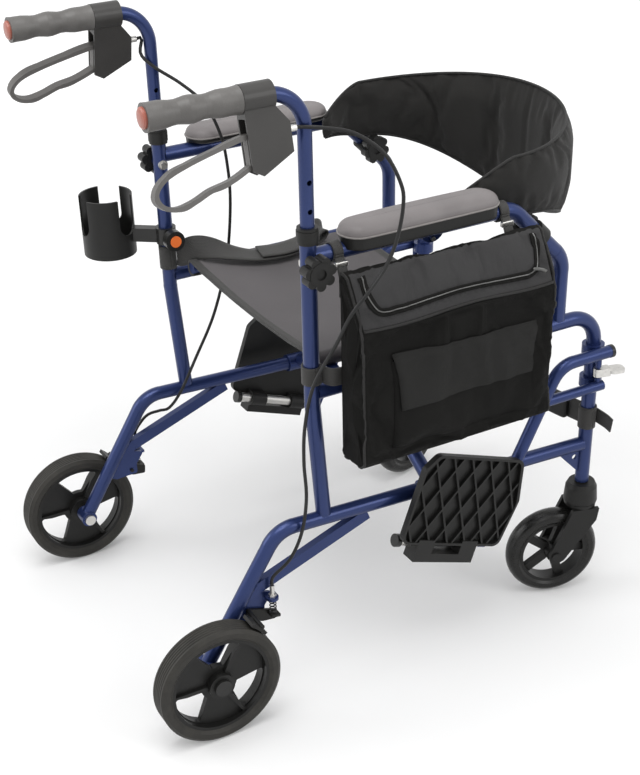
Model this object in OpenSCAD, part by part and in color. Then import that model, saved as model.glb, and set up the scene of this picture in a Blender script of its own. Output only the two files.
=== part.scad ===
// Folding rollator that turns into a transport chair.
// +X is the user's right, +Y points from the handles to the casters, +Z is up.
// The origin lies on the floor, in the middle of the object's length and width.
// Side pieces are drawn once for the right side, with y = 0 at the rear axle, and mirrored for the left.

/* [Side frame] */
// Half the distance between the two side frames
frame_half_w = 237; // [225:1:250]
// Outside diameter of the frame tubes
tube_d = 22.2; // [21.6:0.1:23.4]
// Height where the rear leg and the base rail would meet
rail_rear_z = 290; // [280:1:296]
// Height of the base rail at the front post
rail_front_z = 270; // [264:1:278]
// Distance from the rear axle to the leg's bend
leg_bend_y = 125; // [115:1:132]
// Distance from the rear axle to the rear upright
upright_y = 188; // [182:1:192]
// How far the upright leans forward below its kink
upright_lean = 13; // [6:1:18]
// Height of the upright's kink
kink_z = 475; // [440:1:485]
// Height of the upright's open top
upright_top_z = 728; // [722:1:734]
// Distance from the rear axle to the front post
post_y = 672; // [666:1:684]
// Height of the front post's open bottom end
post_bottom_z = 202; // [199:1:210]
// Height of the hoop's level tube
hoop_z = 493; // [488:1:496]
// Height of the armrest tube
arm_z = 690; // [686:1:696]
// Distance from the rear axle to the armrest's front leg
arm_post_y = 600; // [594:1:604]

/* [Handles] */
// Outside diameter of the sliding handle tube
handle_d = 19; // [18:0.1:19.6]
// Height of the grip's axis
grip_z = 909; // [900:1:918]
// Length of the grip
grip_len = 122; // [112:1:126]
// Distance that the grip's end lies behind the rear axle
grip_back = 22; // [15:1:30]
// Distance between two height holes
hole_pitch = 38; // [30:1:39]
// Height of the height knob
knob_z = 678; // [670:1:682]
// Outside diameter of the star knobs
knob_d = 46; // [40:1:48]

/* [Brakes] */
// Angle that the levers lean outwards
lever_lean = 13.5; // [8:0.5:18]
// Width of the lever's strip
lever_w = 13; // [10:0.5:14]
// Thickness of the lever's strip
lever_t = 5.5; // [4.5:0.5:6]
// Angle that the brake arm turns to press its shoe on the tyre
brake_turn = 6; // [3:0.5:7]
// Diameter of the brake cable
cable_d = 5; // [4:0.5:5.5]

/* [Rear wheels] */
// Diameter of the rear tyre
rear_d = 190; // [184:1:196]
// Width of the rear tyre
rear_w = 36; // [32:1:38]
// Distance from the side frame to the middle of the rear tyre
rear_out = 38; // [36:0.5:42]
// Diameter of the rear axle
axle_d = 10; // [8:0.5:12]

/* [Casters] */
// Diameter of the caster tyre
caster_d = 152; // [146:1:156]
// Width of the caster tyre
caster_w = 32; // [28:1:34]
// Distance that a caster's wheel trails behind its stem
caster_trail = 44; // [38:1:50]
// Angle that the casters are turned inwards at rest
caster_turn = 17; // [0:1:30]
// Diameter of the caster's stem
stem_d = 12; // [10:0.5:14]

/* [Fold and seat] */
// Distance from the middle to each seat rail
seat_half_w = 190; // [180:1:194]
// Height of the seat rails above the base rails
seat_rise = 230; // [226:1:236]
// Outside diameter of the seat rails
seat_rail_d = 19; // [17:0.5:20]
// Distance from the rear axle to the back end of the seat rails
seat_back_y = 204; // [202:1:210]
// Distance from the rear axle to the front end of the seat rails
seat_front_y = 508; // [495:1:512]
// How far the seat sags in the middle
seat_sag = 14; // [4:1:24]
// Distance from the rear axle to the cross brace's middle
brace_y = 402; // [390:1:420]

/* [Soft pieces] */
// Length of an armrest pad
pad_len = 242; // [220:1:250]
// Width of an armrest pad
pad_w = 57; // [50:1:60]
// Thickness of an armrest pad
pad_t = 25; // [20:1:30]
// Distance from the side frame to the end of the backrest's curve
back_inset = 25; // [24:1:33]
// How far the backrest bulges forward
back_bulge = 186; // [160:1:190]
// Thickness of the backrest's padding
back_t = 16; // [12:1:18]
// Thickness of the webbing
strap_t = 2.4; // [2:0.1:3]

/* [Bag and cup holder] */
// Distance from the side frame to the bag's inner face
bag_gap = 27; // [26:1:34]
// Depth of the bag, from the frame outwards
bag_depth = 64; // [50:1:66]
// Length of the bag
bag_len = 312; // [280:1:314]
// Outside diameter of the cup holder
cup_d = 84; // [80:1:88]
// Wall thickness of the cup holder
cup_wall = 3; // [2:0.5:4]
// Depth of the cup holder
cup_h = 95; // [80:1:100]

/* [Footrests] */
// Diameter of the hanger's tubes
hanger_d = 19; // [17:0.5:20]
// Distance from the front post to the hanger's tubes
hanger_out = 23; // [22.5:0.5:24.5]
// Height of the hanger's upper tube
hanger_z = 435; // [430:1:437]
// Drop from the hanger's upper tube to the foot of its leg
hanger_drop = 265; // [250:1:272]
// Angle that the footplate's hinge rod is pitched
rod_pitch = 20; // [14:1:24]
// Diameter of the footplate's hinge rod
rod_d = 16; // [14:0.5:17]
// Length of the footplate
plate_len = 192; // [170:1:196]
// Width of the footplate
plate_w = 150; // [130:1:152]
// Distance that the latch reaches in front of the post
latch_reach = 38; // [36:1:46]

/* [Hidden] */
$fn = 48;

frame_blue = [0.16, 0.23, 0.47];
grip_grey = [0.3, 0.29, 0.28];
black = [0.1, 0.1, 0.1];
silver = [0.78, 0.77, 0.75];
cap_red = [0.8, 0.3, 0.22];
seat_grey = [0.33, 0.31, 0.32];
tyre_grey = [0.22, 0.22, 0.22];
cap_orange = [0.9, 0.42, 0.2];

// Clearances
run_gap = 0.08;    // round a turning or sliding pin
side_gap = 0.5;    // beside a turning piece
bend_swell = 0.5;  // how much fuller a bend is than its straights, unless it is square
bend_lap = 0.4;    // how far a straight runs into a bend
seat_gap = 0.3;    // between pieces that rest on each other
cut = 1;           // how far a cut runs past a face
weld = 1;          // how much of a tube's wall a welded end runs into

// Frame lines
upright_bore = handle_d + 2 * run_gap;
rail_slope = atan2(rail_rear_z - rail_front_z, post_y - leg_bend_y);
function rail_z(y) = rail_rear_z - (y - leg_bend_y) * tan(rail_slope);
upright_foot_y = upright_y + upright_lean;
axle_z = rear_d / 2;
leg_angle = atan2(rail_rear_z - axle_z, leg_bend_y);
cope = 0.3 * tube_d;
bend_r = 46;
arm_slope = 93;
boss_half_w = tube_d / 2 + 2;
wheel_x = frame_half_w + rear_out;
latch_tip_y = post_y + latch_reach;
back_half_w = frame_half_w - back_inset;
back_mid_y = arm_post_y - 72;
front_reach = max(latch_tip_y, back_mid_y + back_bulge + back_t / 4);
axle_y = -(front_reach - rear_d / 2) / 2;

// Handle
handle_bend = 50;
handle_foot_z = kink_z + 3 * hole_pitch + 32;
grip_front_y = grip_len - grip_back;
housing_len = 42;
housing_gap = 0.5;
housing_back_y = grip_front_y + housing_gap;

// Seat and fold, in a frame that is pitched like the base rails
fold_z = rail_z(brace_y);
brace_angle = atan2(seat_rise, frame_half_w + seat_half_w);
pivot_rise = frame_half_w * tan(brace_angle);
brace_step = tube_d / 2 + 3;
sleeve_len = 46;
pivot_d = 8;
function seat_rail_z(y) = fold_z + seat_rise - (y - brace_y) * tan(rail_slope);

// Pads
pad_back_y = 236;
pad_z = arm_z + tube_d / 2 + seat_gap;

// Footrest
hanger_x = frame_half_w + hanger_out;
hanger_leg_lean = 26.6;
hanger_bend_y = post_y - 79;
foot_y = hanger_bend_y - hanger_drop * tan(hanger_leg_lean);
foot_z = hanger_z - hanger_drop;
rod_len = 158;
ring_h = 16;
lower_ring_z = hanger_z - 54;
ring_wall = 6;
post_stop_h = 6;
latch_z = hanger_z - 31;
latch_back = 6;
latch_pin_d = 6;
latch_x = hanger_x - 2;

// Bag
bag_x = frame_half_w + bag_gap;
bag_back_y = upright_y + 28;
bag_bottom_z = arm_z - 292;
bag_inner_top_z = arm_z - 14;
bag_outer_top_z = arm_z - 78;
flap_t = 8;
bag_outer_x = bag_x + bag_depth + flap_t;

// Cup holder
cup_x = -(bag_outer_x - cup_d / 2);
cup_y = upright_y - 74;
cup_z = kink_z + 55;
cup_clamp_z = cup_z + 32;

// Brake pieces by the rear wheel
arm_pivot = [88, 160];
brake_flange = [106, 186];
brake_flange_t = 4;
brake_x = frame_half_w + 14;
shoe_gap = 0.35;
bracket_t = 5;
spring_d = 11;
spring_wire = 1.6;
spring_turns = 5;
spring_len = 24;
adjuster_len = 20;

// Routes of the brake cables, from the lever to the wheel, with x outwards from the side frame
right_route = [[20, 204, 862], [32, 240, 852], [50, 272, 826], [64, 288, 788], [68, 289, 760],
    [75, 276, 722], [80, 256, 690], [85, 224, 660], [76, 206, 632], [58, 196, 590], [28, 176, 520],
    [18, 166, 456], [17, 163, 400], [17, 165, 340], [17, 156, 286], [16, 136, 246]];
left_route = [[0, 172, 846], [-15, 186, 828], [-28, 222, 800], [-36, 254, 766], [-38, 276, 715],
    [-30, 288, 660], [-24, 292, 606], [-23, 286, 540], [-23, 276, 490], [-22, 250, 414], [-20, 214, 346],
    [-18, 184, 292], [-11, 163, 263], [2, 150, 255], [13, 130, 246]];
cable_rings = 38;

// Helpers: vectors, outlines and sweeps

function unit(v) = v / norm(v);
function heading(p, q) = atan2(q[1] - p[1], q[0] - p[0]);
function turn_at(p, i) = (heading(p[i], p[i + 1]) - heading(p[i - 1], p[i]) + 900) % 360 - 180;
function run_tangent(p, r, i) = i == 0 || i == len(p) - 1 ? 0 : r[i] * tan(abs(turn_at(p, i)) / 2);
function longer(p, e) = [for (i = [0 : len(p) - 1])
    i == 0 ? p[0] - e * unit(p[1] - p[0])
    : i == len(p) - 1 ? p[i] + e * unit(p[i] - p[i - 1]) : p[i]];

// Corner points of an outline, rounded with n steps each
function rounded(p, r, n = 5) = [for (i = [0 : len(p) - 1])
    let (a = p[(i + len(p) - 1) % len(p)], b = p[i], c = p[(i + 1) % len(p)],
        h = heading(a, b), turn = (heading(b, c) - h + 900) % 360 - 180,
        t = min(r * tan(abs(turn) / 2), 0.49 * norm(b - a), 0.49 * norm(c - b)),
        s = turn > 0 ? 1 : -1, q = t / tan(abs(turn) / 2),
        start = b - t * [cos(h), sin(h)], mid = start + s * q * [-sin(h), cos(h)])
    for (k = [0 : n]) mid + q * [cos(h - s * 90 + turn * k / n), sin(h - s * 90 + turn * k / n)]];

// Smooth curve through points: k steps between neighbours
function smooth_at(p, s) = let (i = min(floor(s), len(p) - 2), f = s - i,
    a = p[max(i - 1, 0)], b = p[i], c = p[i + 1], d = p[min(i + 2, len(p) - 1)])
    0.5 * ((2 * b) + (c - a) * f + (2 * a - 5 * b + 4 * c - d) * f * f
        + (3 * b - a - 3 * c + d) * f * f * f);
function smooth(p, n) = [for (k = [0 : n]) smooth_at(p, (len(p) - 1) * k / n)];

function ring(d, n) = [for (k = [0 : n - 1]) d / 2 * [cos(360 * k / n), sin(360 * k / n)]];
function band(w, t) = [[-w / 2, -t / 2], [w / 2, -t / 2], [w / 2, t / 2], [-w / 2, t / 2]];
function path_dir(p, i) = unit(p[min(i + 1, len(p) - 1)] - p[max(i - 1, 0)]);

// A section carried along a path. The section's first axis stays as close to ref as it can.
module sweep(path, section, ref) {
    n = len(section);
    m = len(path);
    points = [for (i = [0 : m - 1])
        let (t = path_dir(path, i), u = unit(ref - (ref * t) * t), v = cross(t, u))
        for (s = section) path[i] + s[0] * u + s[1] * v];
    skin(points, n, m);
}

// Triangles across a ring of n points, zipped from one end of it to the other
function cap(n) = [for (i = [0 : floor(n / 2) - 1]) let (far = n - 2 - i)
    each concat(i + 1 < far ? [[i, i + 1, far]] : [], i < far ? [[i, far, far + 1]] : [])];

// Closed solid over m rings of n points each
module skin(points, n, m) {
    sides = [for (i = [0 : m - 2], k = [0 : n - 1], half = [0, 1])
        let (a = i * n + k, b = i * n + (k + 1) % n)
        half == 0 ? [a, a + n, b + n] : [a, b + n, b]];
    last = (m - 1) * n;
    end = [for (f = cap(n)) [last + f[0], last + f[2], last + f[1]]];
    polyhedron(points, concat(sides, cap(n), end));
}

// Local x and y become y and z, and local z points outwards from the plane at x
module side_plane(x) translate([x, 0, 0]) rotate([90, 0, 90]) children();

module rod(p, q, d) {
    translate(p) rotate([0, 0, heading(p, q)]) rotate([0, 90, 0]) cylinder(h = norm(q - p), d = d);
}

// Solid bent bar in the local xy plane, with a bend radius at each inner point
module bar_run(p, r, d) translate(p[0]) rotate(heading(p[0], p[1])) bar_from(p, r, d, 0);

function is_square(p, i) = i > 0 && i < len(p) - 1 && abs(abs(turn_at(p, i)) - 90) < 0.001;
function lap_at(p, i) = i == 0 || i == len(p) - 1 || is_square(p, i) ? 0 : bend_lap;

// The bar from point i on, along local x: a straight ends a lap inside a bend that is a little fuller
module bar_from(p, r, d, i) {
    length = norm(p[i + 1] - p[i]) - run_tangent(p, r, i) - run_tangent(p, r, i + 1);
    start = lap_at(p, i);
    end = lap_at(p, i + 1);
    translate([-start, 0, 0]) rotate([0, 90, 0]) cylinder(h = start + length + end, d = d);
    if (i < len(p) - 2) {
        turn = turn_at(p, i + 1);
        bend = r[i + 1];
        side = turn > 0 ? 1 : -1;
        swell = is_square(p, i + 1) ? 0 : bend_swell;
        translate([length, 0, 0]) {
            mirror([0, turn > 0 ? 0 : 1, 0]) translate([0, bend, 0]) rotate(-90)
                rotate_extrude(angle = abs(turn)) translate([bend, 0]) circle(d = d + swell);
            translate([0, side * bend, 0]) rotate(turn) translate([0, -side * bend, 0])
                bar_from(p, r, d, i + 1);
        }
    }
}

module tube_run(p, r, d, bore) {
    difference() {
        bar_run(p, r, d);
        bar_run(longer(p, cut), r, bore);
    }
}

module along_x(x0, x1, y, z, d) translate([x0, y, z]) rotate([0, 90, 0]) cylinder(h = x1 - x0, d = d);

module hex_head(d, h) cylinder(h = h, d = d, $fn = 6);

// Star knob with its stud, along local z, stud tip at z = 0
module star_knob(stud_d, stud_len, grip_h) {
    lobes = 7;
    lobe_d = 0.3 * knob_d;
    lobe_step = 0.8;
    cylinder(h = stud_len + grip_h / 2, d = stud_d);
    translate([0, 0, stud_len]) difference() {
        union() {
            cylinder(h = grip_h, d = knob_d - lobe_d);
            for (k = [0 : lobes - 1]) rotate(360 * k / lobes) translate([(knob_d - lobe_d) / 2, 0, lobe_step])
                cylinder(h = grip_h - 2 * lobe_step, d = lobe_d);
        }
        translate([0, 0, grip_h - 3]) cylinder(h = 3 + cut, d = 0.32 * knob_d);
    }
}

// Frame tubes, right side

leg_path = [[0, axle_z], [leg_bend_y, rail_rear_z], [post_y - cope, rail_z(post_y - cope)]];
upright_path = [[upright_foot_y, rail_z(upright_foot_y) + cope], [upright_y, kink_z],
    [upright_y, upright_top_z]];
hoop_path = [[upright_y + cope, hoop_z], [post_y, hoop_z], [post_y, post_bottom_z]];
arm_path = [[upright_y + cope, arm_z], [arm_post_y - arm_slope, arm_z], [arm_post_y, arm_z - arm_slope],
    [arm_post_y, hoop_z + cope]];

module frame_run(p, d = tube_d) side_plane(frame_half_w)
    bar_run(p, [for (i = p) bend_r], d);

module frame_tube(p) side_plane(frame_half_w)
    tube_run(p, [for (i = p) bend_r], tube_d, upright_bore);

module post_cut() translate([frame_half_w, post_y, 0]) cylinder(h = hoop_z - bend_r, d = tube_d + run_gap);
module upright_cut() translate([frame_half_w, upright_y, kink_z])
    cylinder(h = upright_top_z - kink_z, d = tube_d);
module rail_cut() side_plane(frame_half_w)
    rod([leg_bend_y, rail_z(leg_bend_y)], [post_y, rail_z(post_y)], tube_d);
module hoop_cut() side_plane(frame_half_w) rod([upright_y, hoop_z], [post_y - bend_r, hoop_z], tube_d);

// Flat plate in the side plane, its outline given as y and z, in the middle of the tube
module side_plate(outline, x, t) side_plane(x) translate([0, 0, -t / 2]) linear_extrude(t) polygon(outline);

module base_tube() color(frame_blue) {
    boss_d = 26;
    gusset_t = 4;
    strut_w = 18;
    strut_from = [66, axle_z + 102];
    strut_to = [272, rail_z(272) - 12];
    strut_up = strut_w / 2 * [-sin(heading(strut_from, strut_to)), cos(heading(strut_from, strut_to))];
    difference() {
        union() {
            frame_tube(leg_path);
            along_x(frame_half_w - boss_half_w, frame_half_w + boss_half_w, 0, axle_z, boss_d);
        }
        post_cut();
        along_x(frame_half_w - tube_d, frame_half_w + tube_d, 0, axle_z, axle_d);
    }
    // Strut from the leg to the rail
    difference() {
        side_plate([strut_from - strut_up, strut_to - strut_up, strut_to + strut_up, strut_from + strut_up],
            frame_half_w, strut_w - 6);
        frame_run(leg_path);
    }
    // Gusset between the rail and the front post, with a hole
    difference() {
        side_plate([[post_y - 60, rail_z(post_y - 60)], [post_y, rail_z(post_y)],
            [post_y, rail_z(post_y) - 48], [post_y - 12, rail_z(post_y) - 48]], frame_half_w, gusset_t);
        frame_run(leg_path);
        post_cut();
        along_x(frame_half_w - tube_d, frame_half_w + tube_d, post_y - 20, rail_z(post_y) - 20, 9);
    }
    // Bracket that holds the brake arm's pivot and the cable's adjuster
    difference() {
        union() {
            side_plate(rounded([[40, 160], [60, 150], arm_pivot + [10, -8], arm_pivot + [10, 10],
                brake_flange + [4, 0], brake_flange + [4, brake_flange_t], [62, 205]], 4),
                frame_half_w, bracket_t);
            translate([brake_x, brake_flange[0], brake_flange[1]]) cylinder(h = brake_flange_t, d = 18);
            translate([frame_half_w, brake_flange[0] - 9, brake_flange[1]])
                cube([brake_x - frame_half_w, 18, brake_flange_t]);
        }
        frame_run(leg_path);
        along_x(frame_half_w - bracket_t, frame_half_w + bracket_t, arm_pivot[0], arm_pivot[1],
            6 + 2 * run_gap);
        translate([brake_x, brake_flange[0], brake_flange[1] - cut])
            cylinder(h = brake_flange_t + 2 * cut, d = 5);
    }
}

module rear_upright() color(frame_blue) difference() {
    union() {
        frame_tube(upright_path);
        along_x(frame_half_w + 4, frame_half_w + tube_d / 2 + 4, upright_y, knob_z, 15);
    }
    rail_cut();
    translate([frame_half_w, upright_y, knob_z - 20]) cylinder(h = 40, d = upright_bore + 0.8);
    along_x(frame_half_w, frame_half_w + tube_d, upright_y, knob_z, pivot_d + 2 * run_gap);
}

module seat_hoop() color(frame_blue) {
    saddle_w = 16;
    saddle_t = 4;
    difference() {
        frame_tube(hoop_path);
        upright_cut();
    }
    // Ring that carries the footrest hanger
    translate([frame_half_w, post_y, lower_ring_z - ring_h / 2 - side_gap - post_stop_h]) difference() {
        cylinder(h = post_stop_h, d = tube_d + 8);
        translate([0, 0, -cut]) cylinder(h = post_stop_h + 2 * cut, d = tube_d);
    }
    // Saddles that the seat rail rests in
    for (y = [seat_back_y + 36, seat_front_y - 30]) difference() {
        rail_low = seat_rail_z(y) - seat_rail_d / 2 - seat_gap - saddle_w / 2 * tan(rail_slope);
        lip_x = seat_half_w - seat_rail_d / 2 - seat_gap;
        translate([0, y + saddle_w / 2, 0]) rotate([90, 0, 0]) linear_extrude(saddle_w) polygon([
            [lip_x - saddle_t, rail_low - saddle_t], [seat_half_w + seat_rail_d / 2, rail_low - saddle_t],
            [frame_half_w, hoop_z - saddle_t / 2], [frame_half_w, hoop_z + saddle_t],
            [seat_half_w + seat_rail_d / 2, rail_low], [lip_x, rail_low], [lip_x, rail_low + seat_rail_d / 2],
            [lip_x - saddle_t, rail_low + seat_rail_d / 2]]);
        hoop_cut();
    }
}

module armrest_tube() color(frame_blue) {
    tab_y = pad_back_y + pad_len / 2 + 20;
    difference() {
        frame_tube(arm_path);
        upright_cut();
        hoop_cut();
    }
    // Half-round tab that takes the pad's bolt
    difference() {
        side_plate(concat([for (k = [0 : 12]) [tab_y, arm_z] + 20 * [cos(180 + 15 * k), sin(180 + 15 * k)]]),
            frame_half_w, 4);
        frame_run(arm_path);
        along_x(frame_half_w - 4, frame_half_w + 4, tab_y, arm_z - 14.5, 5);
    }
}

module upright_collar() color(black) {
    collar_h = 22;
    lip = 4;
    translate([frame_half_w, upright_y, upright_top_z - collar_h + lip]) difference() {
        union() {
            cylinder(h = collar_h, d = tube_d + 6);
            translate([0, 0, 4]) cylinder(h = collar_h - 8, d = tube_d + 8);
        }
        translate([0, 0, -cut]) cylinder(h = collar_h - lip + cut, d = tube_d);
        cylinder(h = collar_h + cut, d = upright_bore);
    }
}

module height_knob() color(black)
    translate([frame_half_w + handle_d / 2 + seat_gap, upright_y, knob_z]) rotate([0, 90, 0])
        star_knob(pivot_d, tube_d / 2 - handle_d / 2 - seat_gap + 4.5, 20);

// Handles

module handle_tube() color(frame_blue) difference() {
    side_plane(frame_half_w) tube_run([[upright_y, handle_foot_z], [upright_y, grip_z],
        [-grip_back + 4, grip_z]], [0, handle_bend, 0], handle_d, handle_d - 3.2);
    for (k = [0 : 3]) along_x(frame_half_w - handle_d, frame_half_w + handle_d, upright_y,
        knob_z + k * hole_pitch, 7);
}

// Grip radius along its length: a palm swell, three finger rolls and a flared front end
function grip_r(s) = 15.5 + 1.4 * sin(360 * s * 3 - 60) * sin(180 * s) + 2.2 * pow(s, 6) + 2 * pow(1 - s, 5);

module on_handle() translate([frame_half_w, 0, grip_z]) children();

module handle_grip() color(grip_grey) on_handle() translate([0, -grip_back, 0]) rotate([-90, 0, 0])
    difference() {
        rotate_extrude() polygon(concat([[0, 0]], [for (k = [0 : 18]) [grip_r(k / 18), grip_len * k / 18]],
            [[0, grip_len]]));
        translate([0, 0, 4]) cylinder(h = grip_len, d = handle_d);
    }

module grip_cap() color(cap_red) on_handle() translate([0, -grip_back, 0]) rotate([90, 0, 0])
    rotate_extrude() polygon([[0, 0], [13, 0], [13, 2.5], [11, 4.2], [7, 5.2], [0, 5.6]]);

// Local x runs along the handle, local y up, in the plane that leans outwards with the lever
module lever_plane() on_handle() rotate([0, -lever_lean, 0]) rotate([90, 0, 90]) children();

lever_pivot = [housing_back_y + 18, -50];

module brake_housing() {
    w = 24;
    wall = 3;
    front = housing_back_y + housing_len;
    body = [[housing_back_y, 0], [front, 0], [front, -14], [front + 16, -34], [front + 16, -70],
        [housing_back_y + 14, -92], [housing_back_y, -84]];
    slot = [[housing_back_y - cut, -23], [front - 4, -23], [front + 16 - wall, -38],
        [front + 16 - wall, -67], [housing_back_y + 26, -82], [housing_back_y + 20, -100],
        [housing_back_y - cut, -100]];
    color(grip_grey) lever_plane() difference() {
        union() {
            translate([0, 0, -w / 2]) linear_extrude(w) polygon(body);
            translate([housing_back_y, 0]) rotate([0, 90, 0]) cylinder(h = housing_len, d = handle_d + 17);
        }
        translate([housing_back_y - cut, 0]) rotate([0, 90, 0])
            cylinder(h = housing_len + 2 * cut, d = handle_d + 2 * run_gap);
        translate([0, 0, -w / 2 + wall]) linear_extrude(w - 2 * wall) polygon(slot);
        translate([lever_pivot[0], lever_pivot[1], -w]) cylinder(h = 2 * w, d = 6);
    }
    // Pivot pin of the lever, and the gland that the cable leaves by
    color(silver) lever_plane() translate([lever_pivot[0], lever_pivot[1], -w / 2]) cylinder(h = w, d = 6);
    color(silver) lever_plane() translate([front + 16, -44]) rotate([0, 90, 0]) cylinder(h = 12, d = 9);
}

// Middle line of the lever's loop, from the pivot plate's upper corner round to its lower one
lever_line = [[housing_back_y + 2, -43], [60, -52], [20, -62], [-10, -73], [-24, -88], [-19, -103],
    [-1, -110], [22, -106], [46, -97], [74, -91], [housing_back_y + 2, -79]];

// Finger scallops swell the strip's inner side on the straight runs
function strip_edge(p, side) = [for (i = [0 : len(p) - 1]) let (t = path_dir(p, i))
    p[i] + (lever_t / 2 + (side < 0 ? 1.1 * max(0, sin(360 * 5 * i / (len(p) - 1))) : 0))
        * side * [-t[1], t[0]]];

module brake_lever() color(grip_grey) lever_plane() translate([0, 0, -lever_w / 2]) difference() {
    line = smooth(lever_line, 60);
    union() {
        linear_extrude(lever_w) polygon(concat(strip_edge(line, -1),
            [for (i = [len(line) - 1 : -1 : 0]) strip_edge(line, 1)[i]]));
        linear_extrude(lever_w) polygon(rounded([[housing_back_y, -40], [housing_back_y + 26, -42],
            [housing_back_y + 26, -62], [housing_back_y + 12, -82], [housing_back_y, -82]], 3));
    }
    translate([lever_pivot[0], lever_pivot[1], -cut]) cylinder(h = lever_w + 2 * cut, d = 6 + 2 * run_gap);
}

// Brake cables

function cable_start(gap) = let (s = housing_back_y + housing_len + 28 + gap, t = 44)
    [frame_half_w + t * sin(lever_lean), s, grip_z - t * cos(lever_lean)];
cable_end = [brake_x, brake_flange[0], brake_flange[1] + brake_flange_t + adjuster_len + seat_gap];

function cable_path(route) = smooth(concat([cable_start(1.2), cable_start(1.2) + [0, 8, -1]],
    [for (p = route) p + [frame_half_w, 0, 0]], [cable_end + [0, 3, 14], cable_end]), cable_rings);

module brake_cable(route) color(black) sweep(cable_path(route), ring(cable_d, 8), [1, 0, 0]);

// Brake arm, drawn with its shoe on the tyre and then turned back about its pivot

module about_arm_pivot(a) translate([0, arm_pivot[0], arm_pivot[1]]) rotate([a, 0, 0])
    translate([0, -arm_pivot[0], -arm_pivot[1]]) children();

module brake_arm() color(black) about_arm_pivot(-brake_turn) {
    arm_t = 4;
    arm_x = frame_half_w + bracket_t / 2 + side_gap + arm_t / 2;
    shoe_from = 40;
    shoe_to = 58;
    shoe_r = rear_d / 2 + shoe_gap;
    shoe_t = 5;
    tail = [brake_flange[0], brake_flange[1] - spring_len + 0.9];
    tail_t = 4;
    tail_w = 14;
    bar_d = 7;
    bar_r = shoe_r + shoe_t + 1.5;
    bar = [bar_r * cos(47), axle_z + bar_r * sin(47)];
    along_x(frame_half_w - bracket_t / 2 - 3, arm_x, arm_pivot[0], arm_pivot[1], 6);
    // Arm plate from the shoe over the pivot to the spring's seat
    side_plate(rounded([bar + [-3, 4], arm_pivot + [0, 9], tail + [9, -1], tail + [9, -16], tail + [-12, -16],
        arm_pivot + [-12, -8], bar + [-3, -9]], 3), arm_x, arm_t);
    translate([arm_x, tail[0] - 5.5, tail[1] - tail_t]) cube([brake_x - arm_x + tail_w / 2, tail_w, tail_t]);
    // Shoe: a curved plate across the tyre, and the bar that carries it
    along_x(arm_x, wheel_x + rear_w / 2 - 6, bar[0], bar[1], bar_d);
    translate([wheel_x - rear_w / 2 + 4, 0, axle_z]) rotate([90, 0, 90]) rotate(shoe_from)
        rotate_extrude(angle = shoe_to - shoe_from) translate([shoe_r, 0]) square([shoe_t, rear_w - 8]);
}

// Helix from z = 0 to h, standing on its closed ends
function helix(d, h, turns) = [for (k = [0 : 8 * turns])
    [d / 2 * cos(45 * k), d / 2 * sin(45 * k), h * k / (8 * turns)]];
function self_gap(p, w, skip) = min([for (i = [0 : len(p) - 1], j = [i + skip : 1 : len(p) - 1])
    norm(p[i] - p[j])]) - w;

spring_path = helix(spring_d - spring_wire, spring_len - spring_wire - 2 * seat_gap, spring_turns);
echo(spring_least_gap = self_gap(spring_path, spring_wire, 5));

module brake_spring() color(black)
    translate([brake_x, brake_flange[0], brake_flange[1] - spring_len + spring_wire / 2 + seat_gap])
        sweep(spring_path, ring(spring_wire, 6), [0, 0, 1]);

// Rear wheels

rim_d = rear_d - 36;
hub_d = 40;

module at_wheel(x) translate([x, 0, axle_z]) rotate([90, 0, 90]) children();

// Opening between two spokes, from radius r0 to r1, over an angle
function window(r0, r1, half, lean) = concat(
    [for (k = [-4 : 4]) r1 * [cos(half * k / 4), sin(half * k / 4)]],
    [for (k = [3 : -1 : -3]) r0 * [cos(half * lean * k / 4), sin(half * lean * k / 4)]]);

module rear_wheel() color(black) at_wheel(wheel_x) difference() {
    rim_wall = 5;
    web_t = 9;
    union() {
        rotate_extrude() polygon([[rim_d / 2 - rim_wall, -rear_w / 2 + 4], [rim_d / 2, -rear_w / 2 + 4],
            [rim_d / 2, rear_w / 2 - 4], [rim_d / 2 - rim_wall, rear_w / 2 - 4]]);
        translate([0, 0, -web_t / 2]) cylinder(h = web_t, d = rim_d - rim_wall);
        translate([0, 0, -rear_w / 2 + 1]) cylinder(h = rear_w - 2, d = hub_d);
        for (k = [0 : 2]) rotate(120 * k + 60) translate([0, -3, -rear_w / 2 + 8])
            cube([rim_d / 2 - rim_wall / 2, 6, rear_w - 16]);
    }
    for (k = [0 : 2]) rotate(120 * k + 90) translate([0, 0, -rear_w])
        linear_extrude(2 * rear_w)
            polygon(rounded(window(hub_d / 2 + 9, rim_d / 2 - rim_wall - 1.5, 30, 0.7), 6, 3));
    translate([0, 0, -rear_w]) cylinder(h = 2 * rear_w, d = axle_d + 2 * run_gap);
}

module rear_tyre() color(tyre_grey) at_wheel(wheel_x) rotate_extrude() polygon(concat(
    [[rim_d / 2, -rear_w / 2 + 4], [rim_d / 2 + 5, -rear_w / 2], [rear_d / 2 - 5, -rear_w / 2]],
    [for (k = [0 : 6]) each let (z = -rear_w / 2 + 4 + (rear_w - 8) * k / 6)
        k == 0 || k == 6 ? [[rear_d / 2, z]]
            : [[rear_d / 2, z - 1.2], [rear_d / 2 - 1.5, z], [rear_d / 2, z + 1.2]]],
    [[rear_d / 2 - 5, rear_w / 2], [rim_d / 2 + 5, rear_w / 2], [rim_d / 2, rear_w / 2 - 4]]));

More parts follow.
